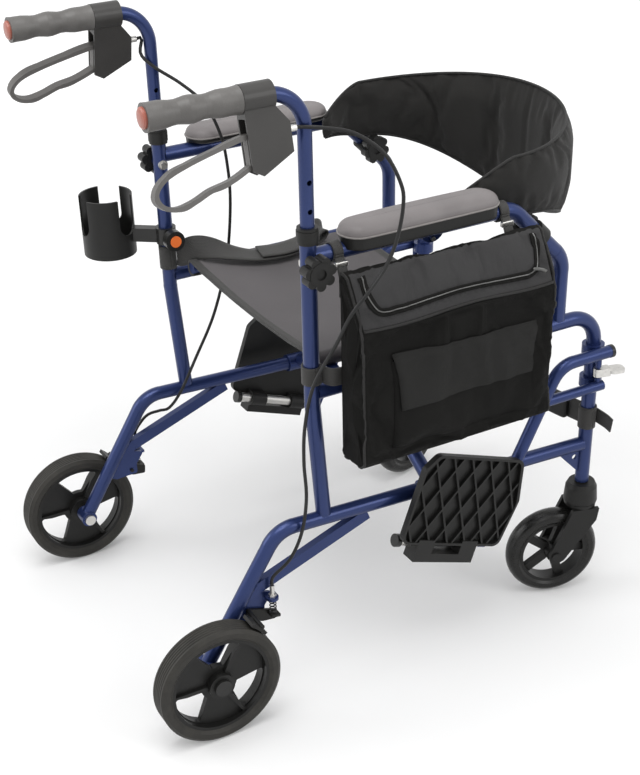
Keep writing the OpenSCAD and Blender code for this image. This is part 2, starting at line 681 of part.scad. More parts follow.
// Axle bolt, hub cap, knob bolt head, pad bolt and cable adjuster
module fasteners() color(silver) {
    head_t = 5;
    inner_x = frame_half_w - tube_d / 2;
    axle_in_x = frame_half_w - boss_half_w;
    hub_end_x = wheel_x + rear_w / 2;
    union() {
        along_x(axle_in_x - head_t, hub_end_x, 0, axle_z, axle_d);
        along_x(axle_in_x - head_t, axle_in_x, 0, axle_z, 18);
        along_x(hub_end_x - 0.5, hub_end_x + 4, 0, axle_z, 26);
        along_x(frame_half_w + boss_half_w, wheel_x - rear_w / 2 + 0.5, 0, axle_z, axle_d + 6);
    }
    difference() {
        translate([inner_x, upright_y, knob_z]) rotate([0, -90, 0]) translate([0, 0, -2]) {
            cylinder(h = 3.5, d = 15);
            hex_head(12, 8);
        }
        upright_cut();
    }
    translate([frame_half_w - 5, pad_back_y + pad_len / 2 + 20, arm_z - 14.5]) rotate([0, 90, 0]) {
        cylinder(h = 9, d = 5);
        translate([0, 0, 7]) cylinder(h = 3, d = 6.6);
    }
    translate([brake_x, brake_flange[0], brake_flange[1] + brake_flange_t]) {
        cylinder(h = adjuster_len, d = 7);
        hex_head(12, 5);
    }
}

// Casters, drawn straight behind the stem and then turned

caster_z = caster_d / 2;
fork_gap = 4;
fork_t = 7;
fork_top_z = post_bottom_z - 2;
caster_rim_d = caster_d - 40;

module on_stem() translate([frame_half_w, post_y, 0]) rotate([0, 0, -caster_turn]) children();
module at_caster() on_stem() translate([0, -caster_trail, caster_z]) rotate([90, 0, 90]) children();

module caster_fork() {
    leg_x = caster_w / 2 + fork_gap;
    crown_z = caster_d + 8;
    color(black) on_stem() difference() {
        union() {
            translate([0, 0, crown_z]) rotate_extrude() polygon([[0, 0], [25, 0], [27, 8],
                [25, fork_top_z - crown_z - 8], [21, fork_top_z - crown_z], [0, fork_top_z - crown_z]]);
            for (s = [-1, 1]) side_plane(s * (leg_x + fork_t / 2)) translate([0, 0, -fork_t / 2])
                linear_extrude(fork_t) polygon(rounded([[24, crown_z + 6], [20, crown_z - 22],
                    [-caster_trail + 14, caster_z - 8], [-caster_trail + 4, caster_z - 14],
                    [-caster_trail - 8, caster_z - 12], [-caster_trail - 12, caster_z + 2],
                    [-24, crown_z - 8], [-18, crown_z + 6]], 6));
        }
        translate([-40, -caster_trail, caster_z]) rotate([0, 90, 0]) cylinder(h = 80, d = 8);
        // The legs stay inside the crown's round edge
        translate([-60, -90, crown_z]) difference() {
            cube([120, 180, 90]);
            translate([60, 90, -cut]) cylinder(h = 90 + 2 * cut, d = 54);
        }
    }
    color(silver) on_stem() fork_stem();
    color(silver) at_caster() translate([0, 0, -leg_x - fork_t - 3]) {
        cylinder(h = 2 * (leg_x + fork_t) + 6, d = 8);
        cylinder(h = 3, d = 15);
        translate([0, 0, 2 * (leg_x + fork_t) + 3]) cylinder(h = 3, d = 15);
    }
}

// Stem that turns in a bush at the bottom of the front post
module fork_stem() translate([0, 0, fork_top_z]) cylinder(h = 46, d = upright_bore - 2 * run_gap);

module caster_wheel() color(black) at_caster() difference() {
    rim_wall = 5;
    spokes = 5;
    union() {
        translate([0, 0, -caster_w / 2 + 3]) difference() {
            cylinder(h = caster_w - 6, d = caster_rim_d);
            translate([0, 0, -cut]) cylinder(h = caster_w, d = caster_rim_d - 2 * rim_wall);
        }
        translate([0, 0, -caster_w / 2 - fork_gap + side_gap])
            cylinder(h = caster_w + 2 * (fork_gap - side_gap), d = 26);
        for (k = [0 : spokes - 1]) rotate(360 * k / spokes) translate([8, -7, -5])
            cube([caster_rim_d / 2 - 8 - rim_wall / 2, 14, 10]);
    }
    translate([0, 0, -caster_w]) cylinder(h = 2 * caster_w, d = 8 + 2 * run_gap);
}

module caster_tyre() color(black) at_caster() rotate_extrude() polygon(concat(
    [[caster_rim_d / 2, -caster_w / 2 + 3], [caster_rim_d / 2 + 4, -caster_w / 2]],
    [for (k = [0 : 10]) let (a = -75 + 15 * k)
        [caster_d / 2 - 12 + 12 * cos(a) / cos(0), caster_w / 2 * sin(a) / sin(75)]],
    [[caster_rim_d / 2 + 4, caster_w / 2], [caster_rim_d / 2, caster_w / 2 - 3]]));

// Armrest pad: a cushion with a crown, drawn-in sides and round ends

function pad_ring(s) = let (end = 0.42 * pad_w, y = pad_len * s,
    inset = y < end ? end - y : y > pad_len - end ? y - pad_len + end : 0,
    k = sqrt(max(0.02, 1 - pow(inset / end, 2))),
    w = pad_w * (0.16 + 0.84 * k), h = pad_t * (0.62 + 0.38 * k))
    [for (q = [[-0.46, 0], [0.46, 0], [0.49, 0.22], [0.47, 0.42], [0.5, 0.62], [0.46, 0.8], [0.36, 0.92],
        [0.2, 0.98], [0, 1], [-0.2, 0.98], [-0.36, 0.92], [-0.46, 0.8], [-0.5, 0.62], [-0.47, 0.42],
        [-0.49, 0.22]])
        [q[0] * w, y, q[1] * h]];
pad_steps = [0, 0.006, 0.02, 0.045, 0.075, 0.1, 0.2, 0.35, 0.5, 0.65, 0.8, 0.9, 0.925, 0.955, 0.98, 0.994, 1];

module armrest_pad() color(seat_grey) translate([frame_half_w, pad_back_y, pad_z])
    mirror([1, 0, 0]) skin([for (s = pad_steps) each pad_ring(s)], 15, len(pad_steps));

// Backrest, its clamps and the straps between the side frames

back_from = -24;
clamp_s = 0.5;
clamp_at = [arm_post_y - arm_slope * (1 - clamp_s), arm_z - arm_slope * clamp_s];

// Height of the backrest's upper and lower edge, against the angle along its curve
function back_top(a) = arm_z + 78 - 16 * pow(cos(a), 2) - 46 * pow(max(0, -sin(a)) / 0.407, 1.4);
function back_low(a) = arm_z - 115 + 90.54 * pow(abs(cos(a)), 1.6) + 26 * max(0, -sin(a)) / 0.407;
// Padding: six channels across the middle, a fuller pad on each wing
function back_pad(a) = let (c = abs(cos(a)))
    back_t * (c > 0.72 ? 0.92 : 0.62 + 0.22 * abs(sin(a * 7.5 + 45)));
back_steps = 46;

function back_ring(a) = let (mid = [back_half_w * cos(a), back_mid_y + back_bulge * sin(a)],
    out = unit([cos(a) / back_half_w, sin(a) / back_bulge]),
    top = back_top(a), low = back_low(a), t = back_pad(a),
    end = min(1, 0.35 + (a - back_from) / 14, 0.35 + (180 - back_from - a) / 14))
    [for (q = [[-0.5, 0.12], [-0.5, 0.5], [-0.5, 0.88], [-0.22, 0.99], [0.22, 0.99], [0.4, 0.88],
        [0.4, 0.5], [0.4, 0.12], [0.22, 0.01], [-0.22, 0.01]])
        let (p = mid + q[0] * t * end * out) [p[0], p[1], low + (top - low) * q[1]]];

module backrest() color(black) translate([0, axle_y, 0])
    skin([for (k = [0 : back_steps]) each back_ring(back_from + (180 - 2 * back_from) * k / back_steps)],
        10, back_steps + 1);

module backrest_clamp() color(black) {
    ring_w = 22;
    plate_x = frame_half_w - tube_d / 2 - 5;
    difference() {
        union() {
            side_plane(frame_half_w) translate(clamp_at) rotate([0, 90, -45]) translate([0, 0, -ring_w / 2])
                cylinder(h = ring_w, d = tube_d + 9);
            along_x(frame_half_w - tube_d / 2 - 12, frame_half_w, clamp_at[0], clamp_at[1] - 2, 20);
        }
        frame_run(arm_path);
    }
    translate([frame_half_w - tube_d / 2 - 8, clamp_at[0], clamp_at[1] - 2]) rotate([0, -90, 0])
        star_knob(pivot_d, 5, 16);
}

calf_z = 318;
calf_w = 36;

// Straight band between the front posts with a loop round each post
module calf_strap() color(black) translate([0, axle_y, 0]) {
    loop_r = tube_d / 2 + seat_gap;
    for (s = [-1, 1]) translate([s * frame_half_w, post_y, calf_z - calf_w / 2]) difference() {
        cylinder(h = calf_w, r = loop_r + strap_t);
        translate([0, 0, -cut]) cylinder(h = calf_w + 2 * cut, r = loop_r);
    }
    sweep(smooth([for (k = [-4 : 4]) [k / 4 * (frame_half_w - loop_r - strap_t / 2),
        post_y - 24 * (1 - pow(k / 4, 2)), calf_z]], 16), band(calf_w, strap_t), [0, 0, 1]);
    // Side-release buckle on the right end, and the strap's loose tail
    translate([frame_half_w - 86, post_y - 22, calf_z - 15]) rotate([0, 0, 11]) cube([50, 9, 30]);
    translate([frame_half_w - 2, post_y + loop_r + 0.2, calf_z - 12]) cube([44, strap_t, 24]);
}

// Footrests, stowed along the outside of the frame with the plate flipped up

rod_dir = [cos(rod_pitch), -sin(rod_pitch)];
foot = [foot_y, foot_z];
rod_x = hanger_x + 4;
plate_x = rod_x + rod_d / 2 + 4;
plate_t = 10;
knuckle_d = rod_d + 9;
knuckle_from = 26;
knuckle_to = 138;

module post_ring(z) translate([frame_half_w, post_y, z - ring_h / 2]) difference() {
    cylinder(h = ring_h, d = tube_d + 2 * ring_wall);
    translate([0, 0, -cut]) cylinder(h = ring_h + 2 * cut, d = tube_d + 2 * run_gap);
}

module post_space() translate([frame_half_w, post_y, post_bottom_z])
    cylinder(h = hoop_z - post_bottom_z, d = tube_d + 2 * run_gap);

// Place on the hinge rod: local x along the rod from the foot to its free end, local y up, local z outwards
module on_rod() side_plane(rod_x) translate(foot) rotate(180 - rod_pitch) mirror([0, 1, 0]) children();

module footrest_hanger() {
    front_y = post_y + 12;
    color(frame_blue) difference() {
        union() {
            side_plane(hanger_x) tube_run([[front_y, hanger_z], [hanger_bend_y, hanger_z], foot],
                [0, 40, 0], hanger_d, hanger_d - 3.2);
            side_plane(hanger_x) rod([front_y - 8, lower_ring_z],
                [hanger_bend_y - (hanger_z - lower_ring_z) * tan(hanger_leg_lean), lower_ring_z],
                hanger_d - 3);
            post_ring(hanger_z);
            post_ring(lower_ring_z);
            translate([latch_x, front_y - 16, lower_ring_z]) cylinder(h = hanger_z - lower_ring_z, d = 9);
        }
        post_space();
        translate([latch_x, front_y - 16, latch_z - 9]) cylinder(h = 18, d = 40);
    }
    color(silver) translate([latch_x, front_y - 16, lower_ring_z + 4])
        cylinder(h = hanger_z - lower_ring_z - 8, d = latch_pin_d);
    // Hinge rod with its end plug, and the plug of the upper tube
    color(silver) difference() {
        on_rod() rotate([0, 90, 0]) translate([0, 0, -6]) cylinder(h = rod_len + 6, d = rod_d);
        side_plane(hanger_x) rod(foot - 40 * unit(foot - [hanger_bend_y, hanger_z]), foot, hanger_d - weld);
    }
    color(black) on_rod() rotate([0, 90, 0]) translate([0, 0, rod_len]) cylinder(h = 8, d = rod_d + 4);
    color(black) side_plane(hanger_x) rod([front_y, hanger_z], [front_y + 6, hanger_z], hanger_d + 1);
}

// Footplate: a tray with a lattice of ribs underneath, on two knuckles round the rod
module footplate() color(black) {
    rib_t = 3;
    rib_step = 34;
    rim = 4;
    skin_t = 3;
    low = 4;
    corners = [[6, low], [-4, plate_w * 0.55], [14, plate_w], [plate_len - 18, plate_w],
        [plate_len, plate_w - 24], [plate_len, low]];
    outline = rounded(corners, 14);
    plate_shift = rod_len - plate_len + 12;
    on_rod() difference() {
        union() {
            translate([plate_shift, 0, plate_x - rod_x]) {
                linear_extrude(skin_t) polygon(outline);
                linear_extrude(plate_t) difference() {
                    polygon(outline);
                    polygon(rounded([for (p = corners) [p[0] + (p[0] < plate_len / 2 ? rim : -rim),
                        p[1] + (p[1] < plate_w / 2 ? rim : -rim)]], 11));
                }
                linear_extrude(plate_t - 1) intersection() {
                    polygon(outline);
                    union() for (k = [-4 : 9], s = [-1, 1]) translate([k * rib_step, 0]) rotate(s * 28)
                        translate([-rib_t / 2, -60]) square([rib_t, plate_w + 120]);
                }
            }
            // Knuckles, joined to the plate
            for (x = [knuckle_from, knuckle_to - 30]) translate([x, 0, 0]) {
                rotate([0, 90, 0]) cylinder(h = 30, d = knuckle_d);
                translate([0, -knuckle_d / 2, 0]) cube([30, knuckle_d / 2 + 12, plate_x - rod_x + plate_t]);
            }
            translate([knuckle_from, -knuckle_d / 2 - 12, -4])
                cube([knuckle_to - knuckle_from, 14, plate_x - rod_x + 4 + plate_t]);
        }
        translate([-cut - 20, 0, 0]) rotate([0, 90, 0]) cylinder(h = rod_len + 60, d = rod_d + 2 * run_gap);
    }
}

// Release latch: a channel with a flat paddle, on an upright pin
module footrest_latch() color(silver) {
    pin_y = post_y - 4;
    bar_w = 14;
    latch_h = 13;
    reach = latch_tip_y - pin_y;
    translate([latch_x, pin_y, latch_z - latch_h / 2]) rotate([0, 0, -14]) difference() {
        union() {
            cylinder(h = latch_h, d = bar_w);
            translate([-bar_w / 2, 0, 0]) cube([bar_w, (reach - 9) / cos(14) - 16, latch_h]);
            translate([-11, (reach - 9) / cos(14) - 18, 4]) linear_extrude(5)
                polygon(rounded([[0, 0], [22, 0], [22, 26], [0, 26]], 8));
        }
        translate([0, 0, -cut]) cylinder(h = latch_h + 2 * cut, d = latch_pin_d + 2 * run_gap);
        translate([-bar_w / 2 + 2, 8, -cut]) cube([bar_w - 4, reach - 40, latch_h - 2 + cut]);
    }
}

// Cross brace and seat, in the frame pitched like the base rails

module fold_frame() translate([0, axle_y + brace_y, fold_z]) rotate([-rail_slope, 0, 0]) children();

module xz_tube(p, q, y, d) translate([p[0], y, p[1]]) rotate([0, 90 - atan2(q[1] - p[1], q[0] - p[0]), 0])
    cylinder(h = norm(q - p), d = d);

// Brace that turns round the right base rail and carries the left seat rail, at a step along the rails
module brace(y) {
    rail_p = [frame_half_w, 0];
    seat_p = [-seat_half_w, seat_rise];
    back = (seat_back_y - brace_y) / cos(rail_slope);
    front = (seat_front_y - brace_y) / cos(rail_slope);
    color(frame_blue) difference() {
        union() {
            xz_tube(rail_p, seat_p, y, tube_d);
            translate([frame_half_w, y + sleeve_len / 2, 0]) rotate([90, 0, 0])
                cylinder(h = sleeve_len, d = tube_d + 7);
            translate([-seat_half_w, back, seat_rise]) rotate([-90, 0, 0])
                cylinder(h = front - back, d = seat_rail_d);
        }
        translate([frame_half_w, y + sleeve_len, 0]) rotate([90, 0, 0])
            cylinder(h = 2 * sleeve_len, d = tube_d + 2 * run_gap);
        translate([0, y + tube_d, pivot_rise]) rotate([90, 0, 0])
            cylinder(h = 2 * tube_d, d = pivot_d + 2 * run_gap);
    }
    // End plugs of the seat rail
    color(black) for (end = [[back, 90], [front, -90]])
        translate([-seat_half_w, end[0], seat_rise]) rotate([end[1], 0, 0])
            cylinder(h = 5, d = seat_rail_d + 1);
}

module brace_a() fold_frame() {
    brace(-brace_step);
    // Pivot bolt through both braces
    color(silver) translate([0, brace_step + tube_d / 2 + 6, pivot_rise]) rotate([90, 0, 0]) {
        cylinder(h = 2 * brace_step + tube_d + 10, d = pivot_d);
        translate([0, 0, 2 * brace_step + tube_d + 6]) hex_head(14, 6);
        cylinder(h = 5, d = 14);
        translate([0, 0, brace_step + tube_d / 2 + 6 - 2.5]) cylinder(h = 5, d = 16);
    }
}

module brace_b() fold_frame() mirror([1, 0, 0]) brace(brace_step);

// Seat: cloth between the seat rails, sagging in the middle
seat_cloth_t = 3;
seat_lift = 2.9;
module seat_sling() color(seat_grey) fold_frame() {
    half = seat_half_w + 4;
    back = seat_back_y - brace_y + 2;
    front = seat_front_y - brace_y - 2;
    top = seat_rise + seat_rail_d / 2 + 0.5 + seat_gap;
    cols = 14;
    rows = 9;
    drop = [for (i = [0 : cols]) let (u = 2 * i / cols - 1) seat_sag * (1 - pow(u, 2)) + 2.2 * pow(u, 8)];
    thick = [for (j = [0 : rows]) j == 0 || j == rows ? seat_cloth_t + 1.5 : seat_cloth_t];
    skin([for (j = [0 : rows])
        let (y = back + (front - back) * j / rows, f = 1 - 0.25 * pow(2 * j / rows - 1, 4))
        each concat([for (i = [cols : -1 : 0]) [half * (2 * i / cols - 1), y, top + seat_lift - drop[i] * f]],
            [for (i = [0 : cols]) [half * (2 * i / cols - 1), y, top + seat_lift - drop[i] * f + thick[j]]])],
        2 * (cols + 1), rows + 1);
}

// Lap belt: fixed round the left upright, lying in a bow on the seat
belt_w = 38;
belt_z = kink_z + 32;
// Height of the seat's upper side, with the rails level with y
function seat_top(x, y) = let (u = min(1, abs(x) / (seat_half_w + 4)))
    seat_rail_z(y) + seat_rail_d / 2 + 0.5 + seat_gap + seat_lift - 0.75 * seat_sag * (1 - pow(u, 2))
        + seat_cloth_t + 1.5;
function belt_at(x, y, lift) = [x, y, seat_top(x - belt_w / 2, y) + lift];

// Where the belt lies: inwards from the left frame, forwards of the upright, and height above the seat
belt_lie = [[33, 30, 10], [51, 52, 7], [72, 82, 4], [87, 116, 2.6], [91, 156, 2.6], [81, 198, 2.6],
    [65, 232, 2.6]];

module seat_belt() color(black) translate([0, axle_y, 0]) {
    loop_r = tube_d / 2 + seat_gap;
    sewn = 0.78 * tube_d / 2 + strap_t;
    path = [[-frame_half_w + sewn, upright_y + sewn, belt_z + 21],
        [18 - frame_half_w, upright_y + 17, belt_z + 33],
        for (p = belt_lie) belt_at(p[0] - frame_half_w, upright_y + p[1], p[2])];
    sweep(smooth(path, 36), band(belt_w, strap_t), [0.9, -0.4, -0.06]);
    translate([-frame_half_w, upright_y, belt_z]) difference() {
        cylinder(h = belt_w, r = loop_r + strap_t);
        translate([0, 0, -cut]) cylinder(h = belt_w + 2 * cut, r = loop_r);
    }
}

// Saddle bag: a closed pannier with a sloping lid and a flap pocket
module saddle_bag() color(black) translate([0, axle_y, 0]) {
    r = 14;
    front_y = bag_back_y + bag_len;
    body = [[bag_x, bag_bottom_z], [bag_x + bag_depth, bag_bottom_z + 6],
        [bag_x + bag_depth, bag_outer_top_z],
        [bag_x + 18, bag_inner_top_z], [bag_x, bag_inner_top_z]];
    translate([0, front_y, 0]) rotate([90, 0, 0]) linear_extrude(bag_len) polygon(rounded(body, r, 4));
    translate([bag_x + bag_depth - 2, 0, 0]) rotate([90, 0, 90]) linear_extrude(flap_t + 2)
        polygon(rounded([[bag_back_y + 46, bag_bottom_z + 34], [front_y - 34, bag_bottom_z + 26],
            [front_y - 36, bag_bottom_z + 162], [bag_back_y + 50, bag_bottom_z + 170]], 12, 4));
}

// Loops that hang the bag on the armrest tube, and the strap round the upright
module bag_straps() color(black) translate([0, axle_y, 0]) {
    loop_r = tube_d / 2 + 2 * seat_gap;
    w = 14;
    web_h = 26;
    hang_x = bag_x - seat_gap;
    for (y = [bag_back_y + 3, pad_back_y + pad_len + 2]) {
        translate([frame_half_w, y + w, arm_z]) rotate([90, 0, 0]) difference() {
            cylinder(h = w, r = loop_r + strap_t);
            translate([0, 0, -cut]) cylinder(h = w + 2 * cut, r = loop_r);
        }
        translate([0, y + w, 0]) rotate([90, 0, 0]) linear_extrude(w)
            polygon([[frame_half_w + loop_r + 0.4, arm_z - 7], [frame_half_w + loop_r + strap_t, arm_z - 2],
                [hang_x, bag_inner_top_z - 8], [hang_x, bag_inner_top_z - 40],
                [hang_x - strap_t, bag_inner_top_z - 40], [hang_x - strap_t, bag_inner_top_z - 14]]);
    }
    translate([frame_half_w, upright_y, kink_z + 34]) difference() {
        union() {
            cylinder(h = web_h, r = loop_r + strap_t);
            translate([0, loop_r, 0]) cube([hang_x - frame_half_w, strap_t, web_h]);
            translate([hang_x - frame_half_w - strap_t, loop_r, 0]) cube([strap_t, 40, web_h]);
        }
        translate([0, 0, -cut]) cylinder(h = web_h + 2 * cut, r = loop_r);
    }
}

// Cup holder: a cup with four U-shaped cut-outs on a clamp round the left upright
module cup_holder() color(black) translate([cup_x, axle_y + cup_y, cup_z]) difference() {
    cylinder(h = cup_h, d = cup_d);
    translate([0, 0, cup_wall]) cylinder(h = cup_h, d = cup_d - 2 * cup_wall);
    for (k = [0 : 2]) rotate(30 + 120 * k) translate([0, 0, cup_h * 0.55]) rotate([0, 90, 0]) {
        cylinder(h = cup_d, d = 34);
        translate([-cup_h, -17, 0]) cube([cup_h, 34, cup_d]);
    }
    translate([0, 0, -cut]) cylinder(h = cup_wall + 2 * cut, d = 14);
}

module cup_clamp() translate([0, axle_y, 0]) {
    clamp_h = 26;
    arm_from = [-frame_half_w, upright_y];
    arm_to = [cup_x, cup_y];
    arm_dir = unit(arm_to - arm_from);
    arm_len = norm(arm_to - arm_from) - cup_d / 2;
    color(black) difference() {
        union() {
            translate([arm_from[0], arm_from[1], cup_clamp_z - clamp_h / 2])
                cylinder(h = clamp_h, d = tube_d + 10);
            translate([arm_from[0], arm_from[1], cup_clamp_z]) rotate(atan2(arm_dir[1], arm_dir[0]))
                translate([0, -8, -clamp_h / 2 + 2]) cube([arm_len + 4, 16, clamp_h - 4]);
            along_x(-frame_half_w, -frame_half_w + tube_d / 2 + 12, upright_y, cup_clamp_z, 15);
        }
        translate([-frame_half_w, upright_y, 0]) cylinder(h = upright_top_z, d = tube_d);
        translate([cup_x, cup_y, 0]) cylinder(h = upright_top_z, d = cup_d);
    }
    knob_x = -frame_half_w + tube_d / 2 + 12;
    knob_len = 14;
    color(black) along_x(knob_x, knob_x + knob_len, upright_y, cup_clamp_z, 32);
    color(cap_orange) along_x(knob_x + knob_len, knob_x + knob_len + 2, upright_y, cup_clamp_z, 18);
}

module right() translate([0, axle_y, 0]) children();
module left() mirror([1, 0, 0]) right() children();

right() base_tube();  // right_base_tube
right() rear_upright();  // right_rear_upright
right() seat_hoop();  // right_seat_hoop
right() armrest_tube();  // right_armrest_tube
right() upright_collar();  // right_upright_collar
right() height_knob();  // right_height_knob
right() handle_tube();  // right_handle_tube
right() handle_grip();  // right_handle_grip
right() grip_cap();  // right_grip_cap
right() brake_housing();  // right_brake_housing
right() brake_lever();  // right_brake_lever
right() brake_cable(right_route);  // right_brake_cable
right() brake_arm();  // right_brake_arm
right() brake_spring();  // right_brake_spring
right() rear_wheel();  // right_rear_wheel
right() rear_tyre();  // right_rear_tyre
right() fasteners();  // right_fasteners
right() caster_fork();  // right_caster_fork
right() caster_wheel();  // right_caster_wheel
right() caster_tyre();  // right_caster_tyre
right() armrest_pad();  // right_armrest_pad
right() backrest_clamp();  // right_backrest_clamp
right() footrest_hanger();  // right_footrest_hanger
right() footplate();  // right_footplate
right() footrest_latch();  // right_footrest_latch
left() base_tube();  // left_base_tube
left() rear_upright();  // left_rear_upright
left() seat_hoop();  // left_seat_hoop
left() armrest_tube();  // left_armrest_tube
left() upright_collar();  // left_upright_collar
left() height_knob();  // left_height_knob
left() handle_tube();  // left_handle_tube
left() handle_grip();  // left_handle_grip
left() grip_cap();  // left_grip_cap
left() brake_housing();  // left_brake_housing
left() brake_lever();  // left_brake_lever
left() brake_cable(left_route);  // left_brake_cable
left() brake_arm();  // left_brake_arm
left() brake_spring();  // left_brake_spring
left() rear_wheel();  // left_rear_wheel
left() rear_tyre();  // left_rear_tyre
left() fasteners();  // left_fasteners
left() caster_fork();  // left_caster_fork
left() caster_wheel();  // left_caster_wheel
left() caster_tyre();  // left_caster_tyre
left() armrest_pad();  // left_armrest_pad
left() backrest_clamp();  // left_backrest_clamp
left() footrest_hanger();  // left_footrest_hanger
left() footplate();  // left_footplate
left() footrest_latch();  // left_footrest_latch
brace_a();
brace_b();
seat_sling();
seat_belt();
backrest();
calf_strap();
saddle_bag();
bag_straps();
cup_holder();
cup_clamp();
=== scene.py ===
# %% [markdown]
# A rollator transport chair is a walking frame on wheels that can also be sat in and pushed. Its rigid
# pieces come from the packed CAD frame. They could be modelled again by hand, but would then drift from
# the frame's joints. So this lesson lights and finishes them as they are, and makes only what a solid
# can't show: the seat, backrest, pads, bag, straps and brake cables. Their sizes are written as a maker
# writes them, in millimetres and with y from the rear axle, and MM turns them into metres. The lamps and
# the floor are in metres.

# %% Load the frame
import math

import bpy
import numpy as np
from mathutils import Matrix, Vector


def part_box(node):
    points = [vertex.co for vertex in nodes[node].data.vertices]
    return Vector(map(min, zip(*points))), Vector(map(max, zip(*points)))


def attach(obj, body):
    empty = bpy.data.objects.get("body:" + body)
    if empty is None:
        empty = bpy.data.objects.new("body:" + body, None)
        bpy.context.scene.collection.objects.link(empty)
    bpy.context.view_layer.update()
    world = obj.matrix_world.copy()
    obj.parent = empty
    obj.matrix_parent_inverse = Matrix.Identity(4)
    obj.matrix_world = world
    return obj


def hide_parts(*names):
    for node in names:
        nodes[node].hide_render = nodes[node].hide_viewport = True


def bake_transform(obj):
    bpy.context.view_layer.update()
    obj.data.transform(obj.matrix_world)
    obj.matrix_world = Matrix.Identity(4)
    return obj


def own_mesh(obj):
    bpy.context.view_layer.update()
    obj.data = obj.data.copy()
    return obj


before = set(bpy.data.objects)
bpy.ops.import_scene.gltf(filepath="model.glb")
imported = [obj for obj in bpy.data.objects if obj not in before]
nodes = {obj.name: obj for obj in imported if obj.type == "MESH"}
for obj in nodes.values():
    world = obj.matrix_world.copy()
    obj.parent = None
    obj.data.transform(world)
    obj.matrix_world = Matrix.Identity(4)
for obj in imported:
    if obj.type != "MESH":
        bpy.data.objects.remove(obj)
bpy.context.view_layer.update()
MM = 0.001
SIDES = (("right", 1), ("left", -1))
WHEEL_R = 95
AXLE_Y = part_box("right_rear_tyre")[0].y + WHEEL_R * MM
SIDE_X = 237
HALF_W = SIDE_X * MM
print("nodes", len(nodes), "rear axle at y", round(AXLE_Y, 4))

# %% [markdown]
# The camera stands where the photographer stood. Aimed by eye it would never quite fit, so its place,
# its lens and its slight roll were worked out from the wheels, the tubes and the handles. The shift
# puts the optical axis where the photograph was cropped.

# %% Camera
SHORT_SIDE, LONG_SIDE = 640, 775
FOCAL_PX, OPTICAL_PX = 1451.13, (300.22, 511.14)
SENSOR, FAR_CLIP = 36, 60
ROLL = math.radians(-2.04)


def unit(vectors):
    """Vectors made unit length: each is divided by the root of the sum of its squares."""
    return vectors / np.maximum(np.linalg.norm(vectors, axis=-1, keepdims=True), 1e-12)


def stand(made, x, y, z, at):
    """Puts an object at a place with its three axes along the given directions."""
    made.matrix_world = Matrix([[x[i], y[i], z[i], at[i]] for i in range(3)] + [[0, 0, 0, 1]])


camera = bpy.data.objects.new("camera", bpy.data.cameras.new("camera"))
bpy.context.scene.collection.objects.link(camera)
back = unit(np.array([0.7482, -0.3880, 0.5382]))
right = unit(np.array([0.4604, 0.8877, 0.0]))
up = np.cross(back, right)
turned_right = math.cos(ROLL) * right + math.sin(ROLL) * up
turned_up = -math.sin(ROLL) * right + math.cos(ROLL) * up
stand(camera, turned_right, turned_up, back, (1.78272, -0.63829 + AXLE_Y, 1.42170))
camera.data.sensor_width = SENSOR
camera.data.lens = FOCAL_PX * SENSOR / LONG_SIDE
camera.data.shift_x = (SHORT_SIDE / 2 - OPTICAL_PX[0]) / LONG_SIDE
camera.data.shift_y = (OPTICAL_PX[1] - LONG_SIDE / 2) / LONG_SIDE
camera.data.clip_end = FAR_CLIP
bpy.context.scene.camera = camera
print("lens", round(camera.data.lens, 2), "mm")

# %% [markdown]
# A material is a tree of small nodes. They could be wired one by one, but a formula is easier to read
# than a list of links. So a Term wraps one output socket, and adding, multiplying or taking 1 - term
# makes a Math node.


# %% Shader terms
class Term:
    """One output socket of a shader tree, used in sums and products."""

    def __init__(self, finish, socket):
        self.finish, self.socket = finish, socket

    def math(self, operation, *values):
        """A Math node on the given values, in their order."""
        return self.finish.node("ShaderNodeMath", {"operation": operation}, dict(enumerate(values)))

    def __add__(self, other):
        return self.math("ADD", self, other)

    def __sub__(self, other):
        return self.math("SUBTRACT", self, other)

    def __rsub__(self, other):
        return self.math("SUBTRACT", other, self)

    def __mul__(self, other):
        return self.math("MULTIPLY", self, other)

    def __pow__(self, other):
        return self.math("POWER", self, other)

    def __rpow__(self, other):
        return self.math("POWER", other, self)

    def __gt__(self, other):
        return self.math("GREATER_THAN", self, other)

    def __lt__(self, other):
        return self.math("LESS_THAN", self, other)

    __radd__ = __add__
    __rmul__ = __mul__

    def at_most(self, other):
        """The smaller of the two."""
        return self.math("MINIMUM", self, other)

    def at_least(self, other):
        """The larger of the two."""
        return self.math("MAXIMUM", self, other)

    def wave(self):
        """Sine of the term, in radians."""
        return self.math("SINE", self)


print("term methods", sum(callable(made) for made in vars(Term).values()))

# %% [markdown]
# A Finish is one material around a Principled shader. What is the same all over the piece is set on
# the shader's own sockets. What changes over it comes from nodes, and one method makes every kind of
# node, so that the finishes below are only a few lines each.


